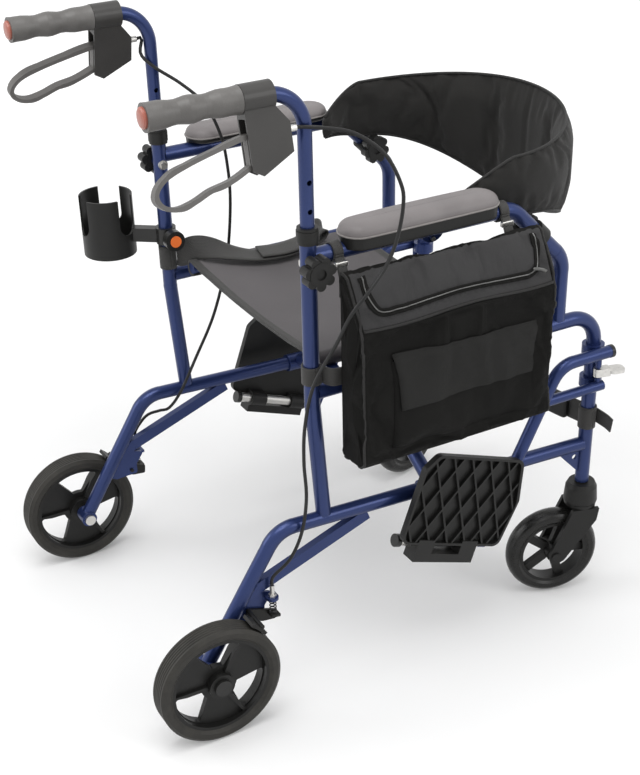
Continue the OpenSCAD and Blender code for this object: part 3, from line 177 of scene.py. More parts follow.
# %% Finishes
class Finish:
    """A material under construction around one Principled shader."""

    def __init__(self, name, **fixed):
        self.material = bpy.data.materials.new(name)
        self.material.use_nodes = True
        self.tree = self.material.node_tree
        self.shader = self.tree.nodes["Principled BSDF"]
        for socket, value in fixed.items():
            self.shader.inputs[socket.replace("_", " ")].default_value = value

    def node(self, kind, settings=None, inputs=None, out=0):
        """Any node: its type, its settings, and the values or links of its sockets."""
        made = self.tree.nodes.new(kind)
        for name, value in (settings or {}).items():
            setattr(made, name, value)
        for name, value in (inputs or {}).items():
            if isinstance(value, Term):
                self.tree.links.new(value.socket, made.inputs[name])
            else:
                made.inputs[name].default_value = value
        return Term(self, made.outputs[out])

    def place(self, space="Object"):
        """Where a point is on the piece: in metres from the origin, or on its own map."""
        return self.node("ShaderNodeTexCoord", out=space)

    def axes(self, space="Object"):
        """The same place as three terms."""
        split = self.node("ShaderNodeSeparateXYZ", inputs={0: self.place(space)})
        return [Term(self, socket) for socket in split.socket.node.outputs]

    def noise(self, scale, detail=2.0, rough=0.5):
        """Cloudy noise from 0 to 1, with about this many clouds in a metre."""
        return self.node("ShaderNodeTexNoise", inputs={
            "Vector": self.place(), "Scale": scale, "Detail": detail, "Roughness": rough})

    def cells(self, scale, feature="F1"):
        """Cells round scattered points, about this many in a metre: the distance to the nearest point, or
        with another feature to the cell's wall."""
        return self.node("ShaderNodeTexVoronoi", {"feature": feature},
                         {"Vector": self.place(), "Scale": scale})

    def mix(self, mask, low, high):
        """Colour low where the mask is 0, high where it is 1."""
        colours = {6: low, 7: high}
        colours = {k: v if isinstance(v, Term) else (*v, 1) for k, v in colours.items()}
        return self.node("ShaderNodeMix", {"data_type": "RGBA"}, {0: mask, **colours}, out=2)

    def bump(self, height, distance, strength, under=None):
        """Dents the surface by a height in metres, over another bump where one is given."""
        links = {"Height": height, "Distance": distance, "Strength": strength}
        if under is not None:
            links["Normal"] = under
        return self.node("ShaderNodeBump", inputs=links, out="Normal")

    def surface(self, **links):
        """Links terms to the shader's sockets and gives the material."""
        for socket, value in links.items():
            self.tree.links.new(value.socket, self.shader.inputs[socket.replace("_", " ")])
        return self.material


print("finish methods", [name for name in vars(Finish) if not name.startswith("__")])

# %% [markdown]
# The light is a plain white studio. A photographed sky would put its own colours on the paint, so this
# one is an even white. It lights the chair at 0.7 and still shows as full white to the camera, in
# reflections and through glass.

# %% Sky
scene = bpy.context.scene
scene.view_settings.view_transform = "Standard"
SKY = 0.7


def seen_directly(owner):
    """1 on rays from the camera, from a reflection or through glass, 0 on the rays that light."""
    camera_ray = owner.node("ShaderNodeLightPath", out="Is Camera Ray")
    rays = camera_ray.socket.node.outputs
    others = Term(owner, rays["Is Glossy Ray"]) + Term(owner, rays["Is Transmission Ray"])
    return (camera_ray + others).at_most(1.0)


class Sky(Finish):
    """The same node maker on the world's tree."""

    def __init__(self, world):
        self.tree = world.node_tree


world = bpy.data.worlds.new("studio")
scene.world = world
world.use_nodes = True
sky_node = world.node_tree.nodes["Background"]
sky_node.inputs["Color"].default_value = (1, 1, 1, 1)
sky_level = SKY + (1 - SKY) * seen_directly(Sky(world))
world.node_tree.links.new(sky_level.socket, sky_node.inputs["Strength"])
print("sky", SKY, "on the chair")

# %% [markdown]
# The floor is a wide sheet of white paper. The lamps reach only its middle, and more light would burn
# out the pale pads. So the paper glows a little further out, for the camera and in reflections alone:
# it looks white all over and still keeps the chair's shadow.

# %% Floor
FLOOR_HALF, PAPER = 20.0, 0.72
LIFT_NEAR, LIFT_FAR = 0.11, 0.5
LIFT_FROM, LIFT_TO = 0.7, 3.0
floor_mesh = bpy.data.meshes.new("floor")
floor_corners = FLOOR_HALF * np.array([(-1, -1, 0), (1, -1, 0), (1, 1, 0), (-1, 1, 0)])
floor_mesh.from_pydata(floor_corners.tolist(), [], [(0, 1, 2, 3)])
floor = bpy.data.objects.new("floor", floor_mesh)
scene.collection.objects.link(floor)
paper = Finish("white_paper", Base_Color=(PAPER, PAPER, PAPER, 1), Roughness=0.9, Emission_Strength=1.0)
x, y = paper.axes()[:2]
away = ((x * x + y * y) ** 0.5 - LIFT_FROM) * (1 / (LIFT_TO - LIFT_FROM))
away = away.at_least(0.0).at_most(1.0)
lift = (LIFT_NEAR + (LIFT_FAR - LIFT_NEAR) * away) * seen_directly(paper)
floor.data.materials.append(paper.surface(Emission_Color=paper.mix(lift, (0, 0, 0), (1, 1, 1))))
print("floor", 2 * FLOOR_HALF, "m wide")

# %% [markdown]
# Product photographs have soft shadows from wide lamps. A sun or a spot would draw hard edges, so three
# square lamps stand round the chair: a strong one above, and weaker ones at its side and front that
# fill the shadows.

# %% Lamps
LAMPS = {
    "overhead": ((0.5, -0.6, 3.4), (0, 0, 0.4), 2.2, 68),
    "side": ((2.6, 1.6, 2.2), (0, 0, 0.5), 1.6, 27),
    "front": ((-1.4, -2.8, 1.9), (0, 0, 0.5), 1.8, 31),
}
for name, (at, towards, width, power) in LAMPS.items():
    light = bpy.data.lights.new(name, "AREA")
    light.size, light.energy = width, power
    made = bpy.data.objects.new(name, light)
    scene.collection.objects.link(made)
    away = unit(np.array(at, float) - np.array(towards, float))
    level = unit(np.cross((0, 0, 1), away))
    stand(made, level, np.cross(away, level), away, at)
print("lamps", list(LAMPS))

# %% [markdown]
# The frame is steel tube under a dark blue metallic paint, its rods and bolts are plated, and the
# springs are coated wire. One flat colour would look like plastic. So fine flakes catch the light under
# a clear coat that is smoother than the paint, and slow noise makes the gloss uneven, as long use does.

# %% Painted and plated metal
FLAKE = 2600.0
PAINT_METAL = 0.55
BLUE = ((0.012, 0.022, 0.078), (0.03, 0.051, 0.17))
SILVER = ((0.46, 0.45, 0.43), (0.72, 0.71, 0.68))
WIRE = ((0.012, 0.012, 0.013), (0.06, 0.06, 0.062))


def blue_paint():
    """Tone: half flakes and half cloud, mixed from the dark blue to the light one."""
    made = Finish("blue_paint", Metallic=PAINT_METAL, Coat_Weight=0.22, Coat_Roughness=0.1,
                  Specular_IOR_Level=0.3)
    flake = made.cells(FLAKE)
    tone = made.mix(flake * 0.5 + made.noise(9.0, 4.0) * 0.5, *BLUE)
    rough = 0.27 + 0.14 * made.noise(60.0, 5.0)
    return made.surface(Base_Color=tone, Roughness=rough, Normal=made.bump(flake, 0.00004, 0.25))


def plated_steel():
    """Streaks of noise make the plating darker and rougher together."""
    made = Finish("plated_steel", Metallic=1.0)
    streak = made.noise(240.0, 3.0)
    return made.surface(Base_Color=made.mix(streak, *SILVER), Roughness=0.2 + 0.22 * streak,
                        Normal=made.bump(made.noise(700.0), 0.00006, 0.3))


def coated_wire():
    """Black coating, paler and duller where the noise has worn it."""
    made = Finish("coated_wire", Metallic=0.6)
    worn = made.noise(180.0, 4.0)
    return made.surface(Base_Color=made.mix(worn, *WIRE), Roughness=0.3 + 0.25 * worn)


FINISHES = {"blue": blue_paint(), "steel": plated_steel(), "wire": coated_wire()}
print("metals", list(FINISHES))

# %% [markdown]
# Black nylon mouldings have a spark-eroded grain. The grips and levers are a warm grey with the same
# grain, and the tyres are dull rubber that holds dust. An image of each would need a map and would show
# its seams, so cells and noise in object space give the grain at its true size.

# %% Plastics and rubber
BLACK = ((0.005, 0.005, 0.0047), (0.017, 0.0168, 0.016))
GREY = ((0.06, 0.057, 0.054), (0.13, 0.124, 0.118))
DARK_GREY = ((0.022, 0.021, 0.02), (0.052, 0.05, 0.0475))
ORANGE = ((0.68, 0.13, 0.02), (0.86, 0.2, 0.05))
RED = ((0.25, 0.065, 0.042), (0.4, 0.115, 0.075))
SLEEVE = ((0.004, 0.004, 0.004), (0.015, 0.015, 0.015))
GREY_RUBBER = ((0.011, 0.0105, 0.0092), (0.054, 0.0505, 0.0435))
BLACK_RUBBER = ((0.005, 0.005, 0.0047), (0.02, 0.0195, 0.018))


def moulded(name, tones, rough, grain, depth, **fixed):
    """Moulding with a fine grain, and tone and gloss that change slowly over the piece."""
    made = Finish(name, **fixed)
    pebble = made.cells(grain)
    cloud = made.noise(22.0, 4.0)
    tone = made.mix(cloud * 0.7 + pebble * 0.3, *tones)
    return made.surface(Base_Color=tone, Roughness=rough + 0.18 * cloud,
                        Normal=made.bump(pebble + 0.6 * made.noise(grain * 0.4), depth, 0.5))


def tyre_rubber(name, tones, rough):
    """Rubber whose dust shows on the noise's high places: noise to the power 1.5."""
    made = Finish(name, Specular_IOR_Level=0.3)
    dust = made.noise(38.0, 6.0, rough=0.65) ** 1.5
    return made.surface(Base_Color=made.mix(dust, *tones), Roughness=rough + 0.2 * dust,
                        Normal=made.bump(made.noise(900.0), 0.00012, 0.5))


FINISHES |= {
    "nylon": moulded("black_nylon", BLACK, 0.34, 900.0, 0.00012, Specular_IOR_Level=0.26),
    "grip": moulded("grip_rubber", GREY, 0.36, 1100.0, 0.0001),
    "red": moulded("red_plug", RED, 0.25, 500.0, 0.00005, Coat_Weight=0.3),
    "sleeve": moulded("cable_sleeve", SLEEVE, 0.3, 700.0, 0.00005, Specular_IOR_Level=0.3),
    "grey_tyre": tyre_rubber("grey_tyre", GREY_RUBBER, 0.48),
    "black_tyre": tyre_rubber("black_tyre", BLACK_RUBBER, 0.2),
}
print("finishes", len(FINISHES))

# %% [markdown]
# Each CAD node that stays gets the finish of the real piece. The nodes could be named one by one, but
# both sides of the chair use the same words, so a table from the end of a node's name to its finish
# serves both.

# %% Finish the rigid pieces
RIGID = {
    "blue": ("base_tube", "rear_upright", "seat_hoop", "armrest_tube", "handle_tube"),
    "nylon": ("upright_collar", "height_knob", "brake_arm", "rear_wheel", "caster_fork", "caster_wheel",
              "backrest_clamp", "footplate", "cup_holder"),
    "grip": ("handle_grip", "brake_lever"),
    "red": ("grip_cap",),
    "grey_tyre": ("rear_tyre",),
    "black_tyre": ("caster_tyre",),
    "steel": ("footrest_latch",),
}


def finish_node(name, material):
    """Gives a node of the frame this material alone."""
    nodes[name].data.materials.clear()
    nodes[name].data.materials.append(material)


for finish, endings in RIGID.items():
    named = [name for name in nodes if name.endswith(endings)]
    for name in named:
        finish_node(name, FINISHES[finish])
    print(finish, len(named), "nodes")

# %% [markdown]
# Some pieces are one solid in the frame but several materials on the chair: the cup clamp's knob has an
# orange disc, the brake housing ends in a metal gland and the axle wears a black hub cap. The solid
# could be cut up, but then it would no longer match its body. So a mask in object coordinates marks the
# place of each other material.

# %% Mixed finishes
DISC_X, GLAND_Y, CAP_DEPTH = -199.5, 158.9, 4.6


def many_part(name, base, metal, *others, rough=0.26):
    """One finish with others laid over it in turn. Each other has its two tones, its share of metal, and
    a mask: a function of the three coordinates, in metres, that is 1 where it shows."""
    made = Finish(name, Metallic=metal, Coat_Weight=0.15, Coat_Roughness=0.12, Specular_IOR_Level=0.3)
    place = made.axes()
    cloud = made.noise(26.0, 4.0)
    tone = made.mix(made.cells(FLAKE) * 0.5 + cloud * 0.5, *base)
    shine = metal
    for tones, share, mask_of in others:
        mask = mask_of(*place)
        tone = made.mix(mask, tone, made.mix(cloud, *tones))
        if isinstance(shine, Term) or share != metal:
            shine = shine + (share - shine) * mask
    if isinstance(shine, Term):
        made.surface(Metallic=shine)
    return made.surface(Base_Color=tone, Roughness=rough + 0.18 * cloud)


finish_node("cup_clamp", many_part("clamp_nylon", BLACK, 0, (ORANGE, 0, lambda x, y, z: x > DISC_X * MM)))
for side, sign in SIDES:
    cap_from = max(abs(corner.x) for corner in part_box(f"{side}_fasteners")) - CAP_DEPTH * MM
    gland = (SILVER, 1, lambda x, y, z: y > GLAND_Y * MM + AXLE_Y)
    cap = (BLACK, 0, lambda x, y, z: x * sign > cap_from)
    housing = many_part(f"{side}_housing_plastic", DARK_GREY, 0, gland, rough=0.36)
    finish_node(f"{side}_brake_housing", housing)
    finish_node(f"{side}_fasteners", many_part(f"{side}_bolt_steel", SILVER, 1, cap))
    print(side, "hub cap from x", round(cap_from, 4))

# %% [markdown]
# A footrest hanger is painted tube welded to a plated hinge rod, with black plugs in the open ends. The
# rod leans, so a plain limit along one axis can't mark it. Its mask is the distance from the rod's own
# axis instead.

# %% Footrest hangers
ROD_PITCH = math.radians(20)
FOOT = (264 * MM, 460.3 * MM + AXLE_Y, 170 * MM)
ROD_Y, ROD_Z = -math.cos(ROD_PITCH), math.sin(ROD_PITCH)
ROD_FROM, ROD_TO, ROD_R = 9 * MM, 157.7 * MM, 10.5 * MM
PLUG_R = ROD_R + 3 * MM
TUBE_PLUG = (252.5 * MM, 684.2 * MM + AXLE_Y)


def rod_place(x, y, z, sign):
    """Distance along the hinge rod from its foot, and the square of the distance from its axis."""
    dx, dy, dz = x - sign * FOOT[0], y - FOOT[1], z - FOOT[2]
    along = dy * ROD_Y + dz * ROD_Z
    return along, dx * dx + dy * dy + dz * dz - along * along


def on_rod(x, y, z, sign):
    """Nearer to the axis than the rod's radius, and above its weld."""
    along, off = rod_place(x, y, z, sign)
    return (off < ROD_R**2) * (along > ROD_FROM)


def on_plugs(x, y, z, sign):
    """The rod's end plug, and the plug of the hanger's upper tube at its front end."""
    along, off = rod_place(x, y, z, sign)
    rod_end = (off < PLUG_R**2) * (along > ROD_TO)
    return rod_end.at_least((y > TUBE_PLUG[1]) * (x * sign > TUBE_PLUG[0]))


for side, sign in SIDES:
    rod = (SILVER, 1, lambda *place: on_rod(*place, sign))
    plugs = (BLACK, 0, lambda *place: on_plugs(*place, sign))
    finish_node(f"{side}_footrest_hanger", many_part(f"{side}_hanger_paint", BLUE, PAINT_METAL, rod, plugs))
print("hinge rod", round(ROD_TO - ROD_FROM, 4), "m long")

# %% [markdown]
# The two cross braces turn on one plated bolt and carry the seat rails, which end in black plugs. The
# plugs lie beyond two limits along the chair. The bolt pitches with the rails, so its mask is the
# distance from a tilted line.

# %% Cross braces
PIVOT_Y, PIVOT_Z, HEAD_R = 402, 407.6, 8.4
PLUG_BACK, PLUG_FRONT = 204.3, 507.7
RAIL_SLOPE = math.tan(math.radians(2.094))


def on_pivot(x, y, z):
    """Within the bolt head's radius of its axis, which falls towards the front with the rails' slope."""
    rise = z - PIVOT_Z * MM + (y - (PIVOT_Y * MM + AXLE_Y)) * RAIL_SLOPE
    return x * x + rise * rise < (HEAD_R * MM) ** 2


def on_rail_plugs(x, y, z):
    """Behind the rear limit or in front of the front one."""
    return (y < PLUG_BACK * MM + AXLE_Y) + (y > PLUG_FRONT * MM + AXLE_Y)


for brace in ("brace_a", "brace_b"):
    plugs, pivot = (BLACK, 0, on_rail_plugs), (SILVER, 1, on_pivot)
    finish_node(brace, many_part(f"{brace}_paint", BLUE, PAINT_METAL, plugs, pivot))
print("rails between plugs", round((PLUG_FRONT - PLUG_BACK) * MM, 4), "m long")

# %% [markdown]
# Every new piece is a surface over a grid of points. Blender's primitives could be pushed into shape,
# but a formula gives the same result each time. The faces are the quads between neighbouring points,
# and a grid that closes on itself gets one more row of them.


# %% Grids to meshes
def grid_faces(rows, cols, wrap_rows, wrap_cols):
    """Corner indices of the quads between neighbouring points of a grid."""
    index = np.arange(rows * cols).reshape(rows, cols)
    if wrap_rows:
        index = np.vstack([index, index[:1]])
    if wrap_cols:
        index = np.hstack([index, index[:, :1]])
    return np.stack([index[:-1, :-1], index[:-1, 1:], index[1:, 1:], index[1:, :-1]], -1).reshape(-1, 4)


def travel(line):
    """Distance travelled from the start of a line to each of its points: the sum of the steps."""
    return np.concatenate([[0], np.cumsum(np.linalg.norm(np.diff(line, axis=0), axis=1))])


def run_length(points, axis, wrap=False):
    """Distance travelled along one direction of the grid, taken at its middle."""
    line = np.take(points, points.shape[1 - axis] // 2, axis=1 - axis)
    return travel(np.vstack([line, line[:1]]) if wrap else line)


print("quads on a ring of 8 by 5 points", len(grid_faces(5, 8, False, True)))

# %% [markdown]
# A piece is the finished object. Blender would unwrap a mesh by itself, but then every piece has its own
# scale. So the map follows the distance travelled over the surface, and the flat ends are closed by one
# face each.


# %% Pieces
def piece(name, points, finish, wrap_rows=False, wrap_cols=False, caps=False, strips=None):
    """A mesh object over a grid of points, in metres, with smooth faces and a map in metres. Strips are
    further quads, given by the numbers of their points."""
    points = np.asarray(points, float)
    rows, cols = points.shape[:2]
    faces = grid_faces(rows, cols, wrap_rows, wrap_cols).tolist()
    u, v = np.meshgrid(run_length(points, 1, wrap_cols), run_length(points, 0, wrap_rows))
    spots = np.stack([u, v], -1)
    corners = np.stack([spots[:-1, :-1], spots[:-1, 1:], spots[1:, 1:], spots[1:, :-1]], 2).reshape(-1, 2)
    if caps:
        faces += [list(range(cols))[::-1], list(range((rows - 1) * cols, rows * cols))]
        corners = np.vstack([corners, np.zeros((2 * cols, 2))])
    if strips is not None:
        faces += strips.tolist()
        corners = np.vstack([corners, spots[:rows, :cols].reshape(-1, 2)[strips.ravel()]])
    mesh = bpy.data.meshes.new(name)
    mesh.from_pydata(points.reshape(-1, 3).tolist(), [], faces)
    layer = mesh.uv_layers.new(name="cloth")
    layer.data.foreach_set("uv", corners.ravel())
    mesh.polygons.foreach_set("use_smooth", np.ones(len(mesh.polygons), bool))
    made = bpy.data.objects.new(name, mesh)
    scene.collection.objects.link(made)
    mesh.materials.append(FINISHES[finish])
    mesh.validate()
    return made


print("finishes to choose from", sorted(FINISHES))

# %% [markdown]
# Cables, beads and straps are sections carried along lines. A Bezier curve with a bevel could draw them,
# but its twist is hard to steer. Here a smooth curve runs through a few chosen points, and the section
# keeps its first axis as close as it can to a given direction.


# %% Lines and sections
def at_axle(points):
    """Millimetres with y from the rear axle, to metres in the frame."""
    p = np.asarray(points, float) * MM
    p[..., 1] += AXLE_Y
    return p


def smooth_line(points, count):
    """Catmull-Rom curve through points: each stretch is a cubic whose slope at a point is half the
    step between that point's neighbours."""
    p = np.asarray(points, float)
    s = np.linspace(0, len(p) - 1, count)
    i = np.minimum(s.astype(int), len(p) - 2)
    f = (s - i)[:, None]
    a, b, c, d = (p[np.clip(i + k, 0, len(p) - 1)] for k in (-1, 0, 1, 2))
    return 0.5 * (2 * b + (c - a) * f + (2 * a - 5 * b + 4 * c - d) * f**2 + (3 * b - a - 3 * c + d) * f**3)


def even_line(points, step):
    """The same line with points an even step apart."""
    points = np.asarray(points, float)
    run = travel(points)
    at = np.linspace(0, run[-1], max(2, int(round(run[-1] / step)) + 1))
    return np.stack([np.interp(at, run, points[:, k]) for k in range(3)], -1)


def directions(path, ref):
    """Unit steps along a path, and the unit direction square to each that is closest to ref: ref less its
    part along the path."""
    t = unit(np.gradient(path, axis=0))
    ref = np.broadcast_to(np.asarray(ref, float), t.shape)
    return t, unit(ref - (ref * t).sum(1, keepdims=True) * t)


def carried(path, section, ref):
    """A section carried along a path: point + a u + b v, where u is closest to ref and v square to it."""
    t, u = directions(path, ref)
    v = np.cross(t, u)
    return path[:, None] + section[:, :1] * u[:, None] + section[:, 1:] * v[:, None]


def circle(radius, sides):
    """Points radius * (cos, sin) at even angles."""
    angle = np.linspace(0, 2 * np.pi, sides, endpoint=False)
    return radius * np.stack([np.cos(angle), np.sin(angle)], -1)


print("quarter bow through 3 points", smooth_line([(0, 0, 0), (7, 3, 0), (10, 10, 0)], 5).round(1).tolist())

# %% [markdown]
# A brake cable leaves the lever's housing, swings forward in a free bow and runs down the side frame to
# the barrel adjuster by the wheel. A hair curve or a rope simulation could hang it, but its bow is stiff
# and its route is known. So it is one tube along a smooth line.

# %% Brake cables
LEAN = math.radians(13.5)
HANDLE_Z, GLAND_DROP = 909, 44
CABLE_D, CABLE_STEP = 5 * MM, 6 * MM
CABLE_START = (GLAND_DROP * math.sin(LEAN), 171.7, HANDLE_Z - GLAND_DROP * math.cos(LEAN))
CABLE_END = (14, 106, 210.3)
ROUTES = {
    "right": [(20, 204, 862), (32, 240, 852), (50, 272, 826), (64, 288, 788), (68, 289, 760),
              (75, 276, 722), (80, 256, 690), (85, 224, 660), (76, 206, 632), (58, 196, 590),
              (28, 176, 520), (18, 166, 456), (17, 163, 400), (17, 165, 340), (17, 156, 286),
              (16, 136, 246)],
    "left": [(0, 172, 846), (-15, 186, 828), (-28, 222, 800), (-36, 254, 766), (-38, 276, 715),
             (-30, 288, 660), (-24, 292, 606), (-23, 286, 540), (-23, 276, 490), (-22, 250, 414),
             (-20, 214, 346), (-18, 184, 292), (-11, 163, 263), (2, 150, 255), (13, 130, 246)],
}


def from_side(points, sign):
    """Millimetres outwards from the side frame, forwards of the axle and up, to metres in the frame."""
    p = at_axle(points)
    p[:, 0] = sign * (HALF_W + p[:, 0])
    return p


for side, sign in SIDES:
    x, y, z = CABLE_START
    out_of_gland = [CABLE_START, (x, y + 8, z - 1)]
    x, y, z = CABLE_END
    into_barrel = [(x, y + 3, z + 14), CABLE_END]
    route = from_side(out_of_gland + ROUTES[side] + into_barrel, sign)
    line = even_line(smooth_line(route, 400), CABLE_STEP)
    cable = piece(f"{side}_cable", carried(line, circle(CABLE_D / 2, 12), (sign, 0, 0)), "sleeve",
                  wrap_cols=True, caps=True)
    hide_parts(f"{side}_brake_cable")
    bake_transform(cable)

# %% [markdown]
# Cloth shows its weave close up and its creases from afar. A picture of cloth would repeat, so the weave
# is a formula. It sits in the map laid over each piece, which is measured in metres, so one thread is as
# wide on the bag as it is on the seat.

# %% Cloth finishes
CREASE = 1.6 * MM
CLOTHS = {
    "seat": ("seat_nylon", (0.056, 0.052, 0.054), (0.122, 0.113, 0.117), 1.6, 0.56, 0.3, 0.03),
    "black_cloth": ("black_polyester", (0.004, 0.004, 0.0038), (0.0135, 0.013, 0.012), 1.4, 0.66, 0.1, 0.0),
    "lid_cloth": ("lid_polyester", (0.015, 0.0147, 0.015), (0.042, 0.041, 0.042), 1.4, 0.6, 0.3, 0.03),
    "flap_cloth": ("flap_polyester", (0.008, 0.008, 0.0076), (0.024, 0.0235, 0.0225), 1.4, 0.62, 0.16, 0.0),
    "back_cloth": ("back_mesh", (0.007, 0.0067, 0.0062), (0.024, 0.023, 0.0215), 2.2, 0.74, 0.22, 0.12),
    "piping": ("edge_piping", (0.006, 0.006, 0.006), (0.022, 0.021, 0.02), 1.2, 0.5, 0.3, 0.03),
    "pale_piping": ("pad_welt", (0.16, 0.15, 0.145), (0.3, 0.28, 0.27), 1.2, 0.45, 0.3, 0.03),
}


def woven(name, dark, light, pitch, rough, gloss, sheen):
    """Plain weave: the product of two sine waves, one across each thread direction. The pitch is in
    millimetres."""
    made = Finish(name, Sheen_Weight=sheen, Sheen_Roughness=0.45, Specular_IOR_Level=gloss)
    u, v = made.axes("UV")[:2]
    thread = 2 * math.pi / (pitch * MM)
    weave = (u * thread).wave() * (v * thread).wave()
    cloud = made.noise(11.0, 5.0)
    fuzz = made.noise(420.0, 3.0)
    tone = made.mix(cloud * 0.6 + fuzz * 0.3 + weave * 0.12, dark, light)
    folds = made.bump(made.noise(34.0, 3.0, rough=0.45), CREASE, 0.35)
    return made.surface(Base_Color=tone, Roughness=rough + 0.14 * cloud,
                        Normal=made.bump(weave + 0.7 * fuzz, 0.0003, 0.55, folds))


for finish, look in CLOTHS.items():
    FINISHES[finish] = woven(*look)
print("cloths", list(CLOTHS))

# %% [markdown]
# The armrests are covered in vinyl with a leather grain, the straps are ribbed webbing and the bag has a
# metal zip. Grain, ribs and teeth are too fine to model, so they are bumps, from cells for the vinyl and
# from waves along the band for the webbing.

# %% Vinyl, webbing and zip
VINYL = ((0.11, 0.1, 0.1), (0.21, 0.194, 0.193))
WEBBING = ((0.01, 0.01, 0.01), (0.05, 0.048, 0.045))
ZIP = ((0.05, 0.05, 0.049), (0.2, 0.2, 0.194))


def vinyl():
    """Leather grain: the distance to the nearest cell wall, cut off at 0.25, under a faint shine."""
    made = Finish("pad_vinyl", Specular_IOR_Level=0.4)
    grain = made.cells(520.0, "DISTANCE_TO_EDGE")
    cloud = made.noise(16.0, 4.0)
    return made.surface(Base_Color=made.mix(cloud, *VINYL), Roughness=0.4 + 0.2 * cloud,
                        Normal=made.bump(grain.at_most(0.25), 0.0005, 0.6))


def webbing():
    """Narrow woven band: a sine for the ribs along it, and a slanting one for the threads between."""
    made = Finish("webbing_black", Sheen_Weight=0.1, Specular_IOR_Level=0.35)
    u, v = made.axes("UV")[:2]
    rib = (u * 2600.0).wave() * 0.6 + (u * 1300.0 + v * 2400.0).wave() * 0.4
    cloud = made.noise(30.0, 4.0)
    tone = made.mix(cloud * 0.7 + rib * 0.12 + 0.1, *WEBBING)
    return made.surface(Base_Color=tone, Roughness=0.5 + 0.2 * cloud, Normal=made.bump(rib, 0.0004, 0.6))


FINISHES |= {"vinyl": vinyl(), "webbing": webbing(),
             "zip": moulded("zip_metal", ZIP, 0.3, 1500.0, 0.0002, Metallic=0.8)}
print("finishes", len(FINISHES))

# %% [markdown]
# Cloth and webbing have two faces and an edge. Solidify could thicken a single surface, but the seat's
# hem is thicker than the rest and takes another cloth, face by face. So a sheet is two grids, one on
# each side of a middle surface, sewn together round the edge.


# %% Sheets
def normals(mid):
    """Unit normals of a grid surface: the cross product of its two directions."""
    return unit(np.cross(np.gradient(mid, axis=0), np.gradient(mid, axis=1)))


def sheet_piece(name, mid, thickness, finish):
    """A closed sheet about a middle surface: mid plus and minus half the thickness along the normal.
    Thickness is one number or a grid of them."""
    rows, cols = mid.shape[:2]
    half = normals(mid) * np.broadcast_to(thickness, (rows, cols))[..., None] / 2
    loop = np.concatenate([mid + half, (mid - half)[:, ::-1]], axis=1)
    index = np.arange(rows * 2 * cols).reshape(rows, 2 * cols)
    top, low = index[[0, -1], :cols], index[[0, -1], :cols - 1:-1]
    first = np.stack([top[0, :-1], low[0, :-1], low[0, 1:], top[0, 1:]], -1)
    last = np.stack([top[1, 1:], low[1, 1:], low[1, :-1], top[1, :-1]], -1)
    return piece(name, loop, finish, wrap_cols=True, strips=np.vstack([first, last]))


print("normal of a level square", normals(np.stack([*np.mgrid[:2.0, :2.0], np.zeros((2, 2))], -1))[0, 0])

# %% [markdown]
# Padded cloth bulges between its seams. Sculpting it or a formula would miss the small creases, so a
# cloth simulation makes them, with a little pressure inside and the seams held in place. How far a point
# may move is capped, to keep the piece on its frame.


# %% Puffing up cloth
def puff(made, held, pressure, cap, slack=0.03, frames=20):
    """Runs the cloth with its held points fixed, keeps each move no longer than the cap, and gives the
    points."""
    mesh = made.data
    start = np.empty(len(mesh.vertices) * 3)
    mesh.vertices.foreach_get("co", start)
    start = start.reshape(-1, 3)
    seam = made.vertex_groups.new(name="seam")
    seam.add(np.flatnonzero(held).tolist(), 1.0, "REPLACE")
    cloth = made.modifiers.new("cloth", "CLOTH")
    rules = cloth.settings
    rules.quality, rules.mass, rules.air_damping = 6, 0.15, 2.0
    rules.tension_stiffness, rules.compression_stiffness = 18, 18
    rules.shear_stiffness, rules.bending_stiffness = 6, 0.12
    rules.use_pressure, rules.uniform_pressure_force = True, pressure
    rules.shrink_min = -slack
    rules.vertex_group_mass = "seam"
    rules.effector_weights.gravity = 0
    cloth.point_cache.frame_start, cloth.point_cache.frame_end = 1, frames
    for number in range(1, frames + 1):
        scene.frame_set(number)
    result = made.evaluated_get(bpy.context.evaluated_depsgraph_get())
    moved = np.empty(start.size)
    result.data.vertices.foreach_get("co", moved)
    move = moved.reshape(-1, 3) - start
    far = np.linalg.norm(move, axis=1, keepdims=True)
    move *= np.minimum(1, cap / np.maximum(far, 1e-9))
    made.modifiers.remove(cloth)
    made.vertex_groups.clear()
    scene.frame_set(1)
    mesh.vertices.foreach_set("co", (start + move).ravel())
    mesh.update()
    print(made.name, "moved by up to", round(float(np.linalg.norm(move, axis=1).max()), 4), "m")
    return start + move


print("cloth runs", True)

# %% [markdown]
# The return spring by each brake arm is black coated wire wound in a helix. A Screw modifier could wind
# it, but a helix is two waves and a climb. It stands on the arm's tail.

# %% Brake springs
COIL_R, WIRE_R, TURNS = 4.7, 0.85, 5
COIL_LOW, COIL_HIGH = 162.4, 185.6
COIL_X, COIL_Y = SIDE_X + 14, 106
for side, sign in SIDES:
    turn = np.linspace(0, TURNS, TURNS * 32 + 1)
    rise = np.clip((turn - 0.5) / (TURNS - 1), 0, 1)
    height = COIL_LOW + WIRE_R + rise * (COIL_HIGH - COIL_LOW - 2 * WIRE_R)
    helix = np.stack([sign * COIL_X + COIL_R * np.cos(2 * np.pi * turn),
                      COIL_Y + COIL_R * np.sin(2 * np.pi * turn), height], -1)
    spring = piece(f"{side}_coil", carried(at_axle(helix), circle(WIRE_R * MM, 10), (0, 0, 1)), "wire",
                   wrap_cols=True, caps=True)
    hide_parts(f"{side}_brake_spring")
    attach(spring, f"{side}_frame")
    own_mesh(spring)
print("spring wire", round(float(travel(helix)[-1]) * MM, 3), "m")
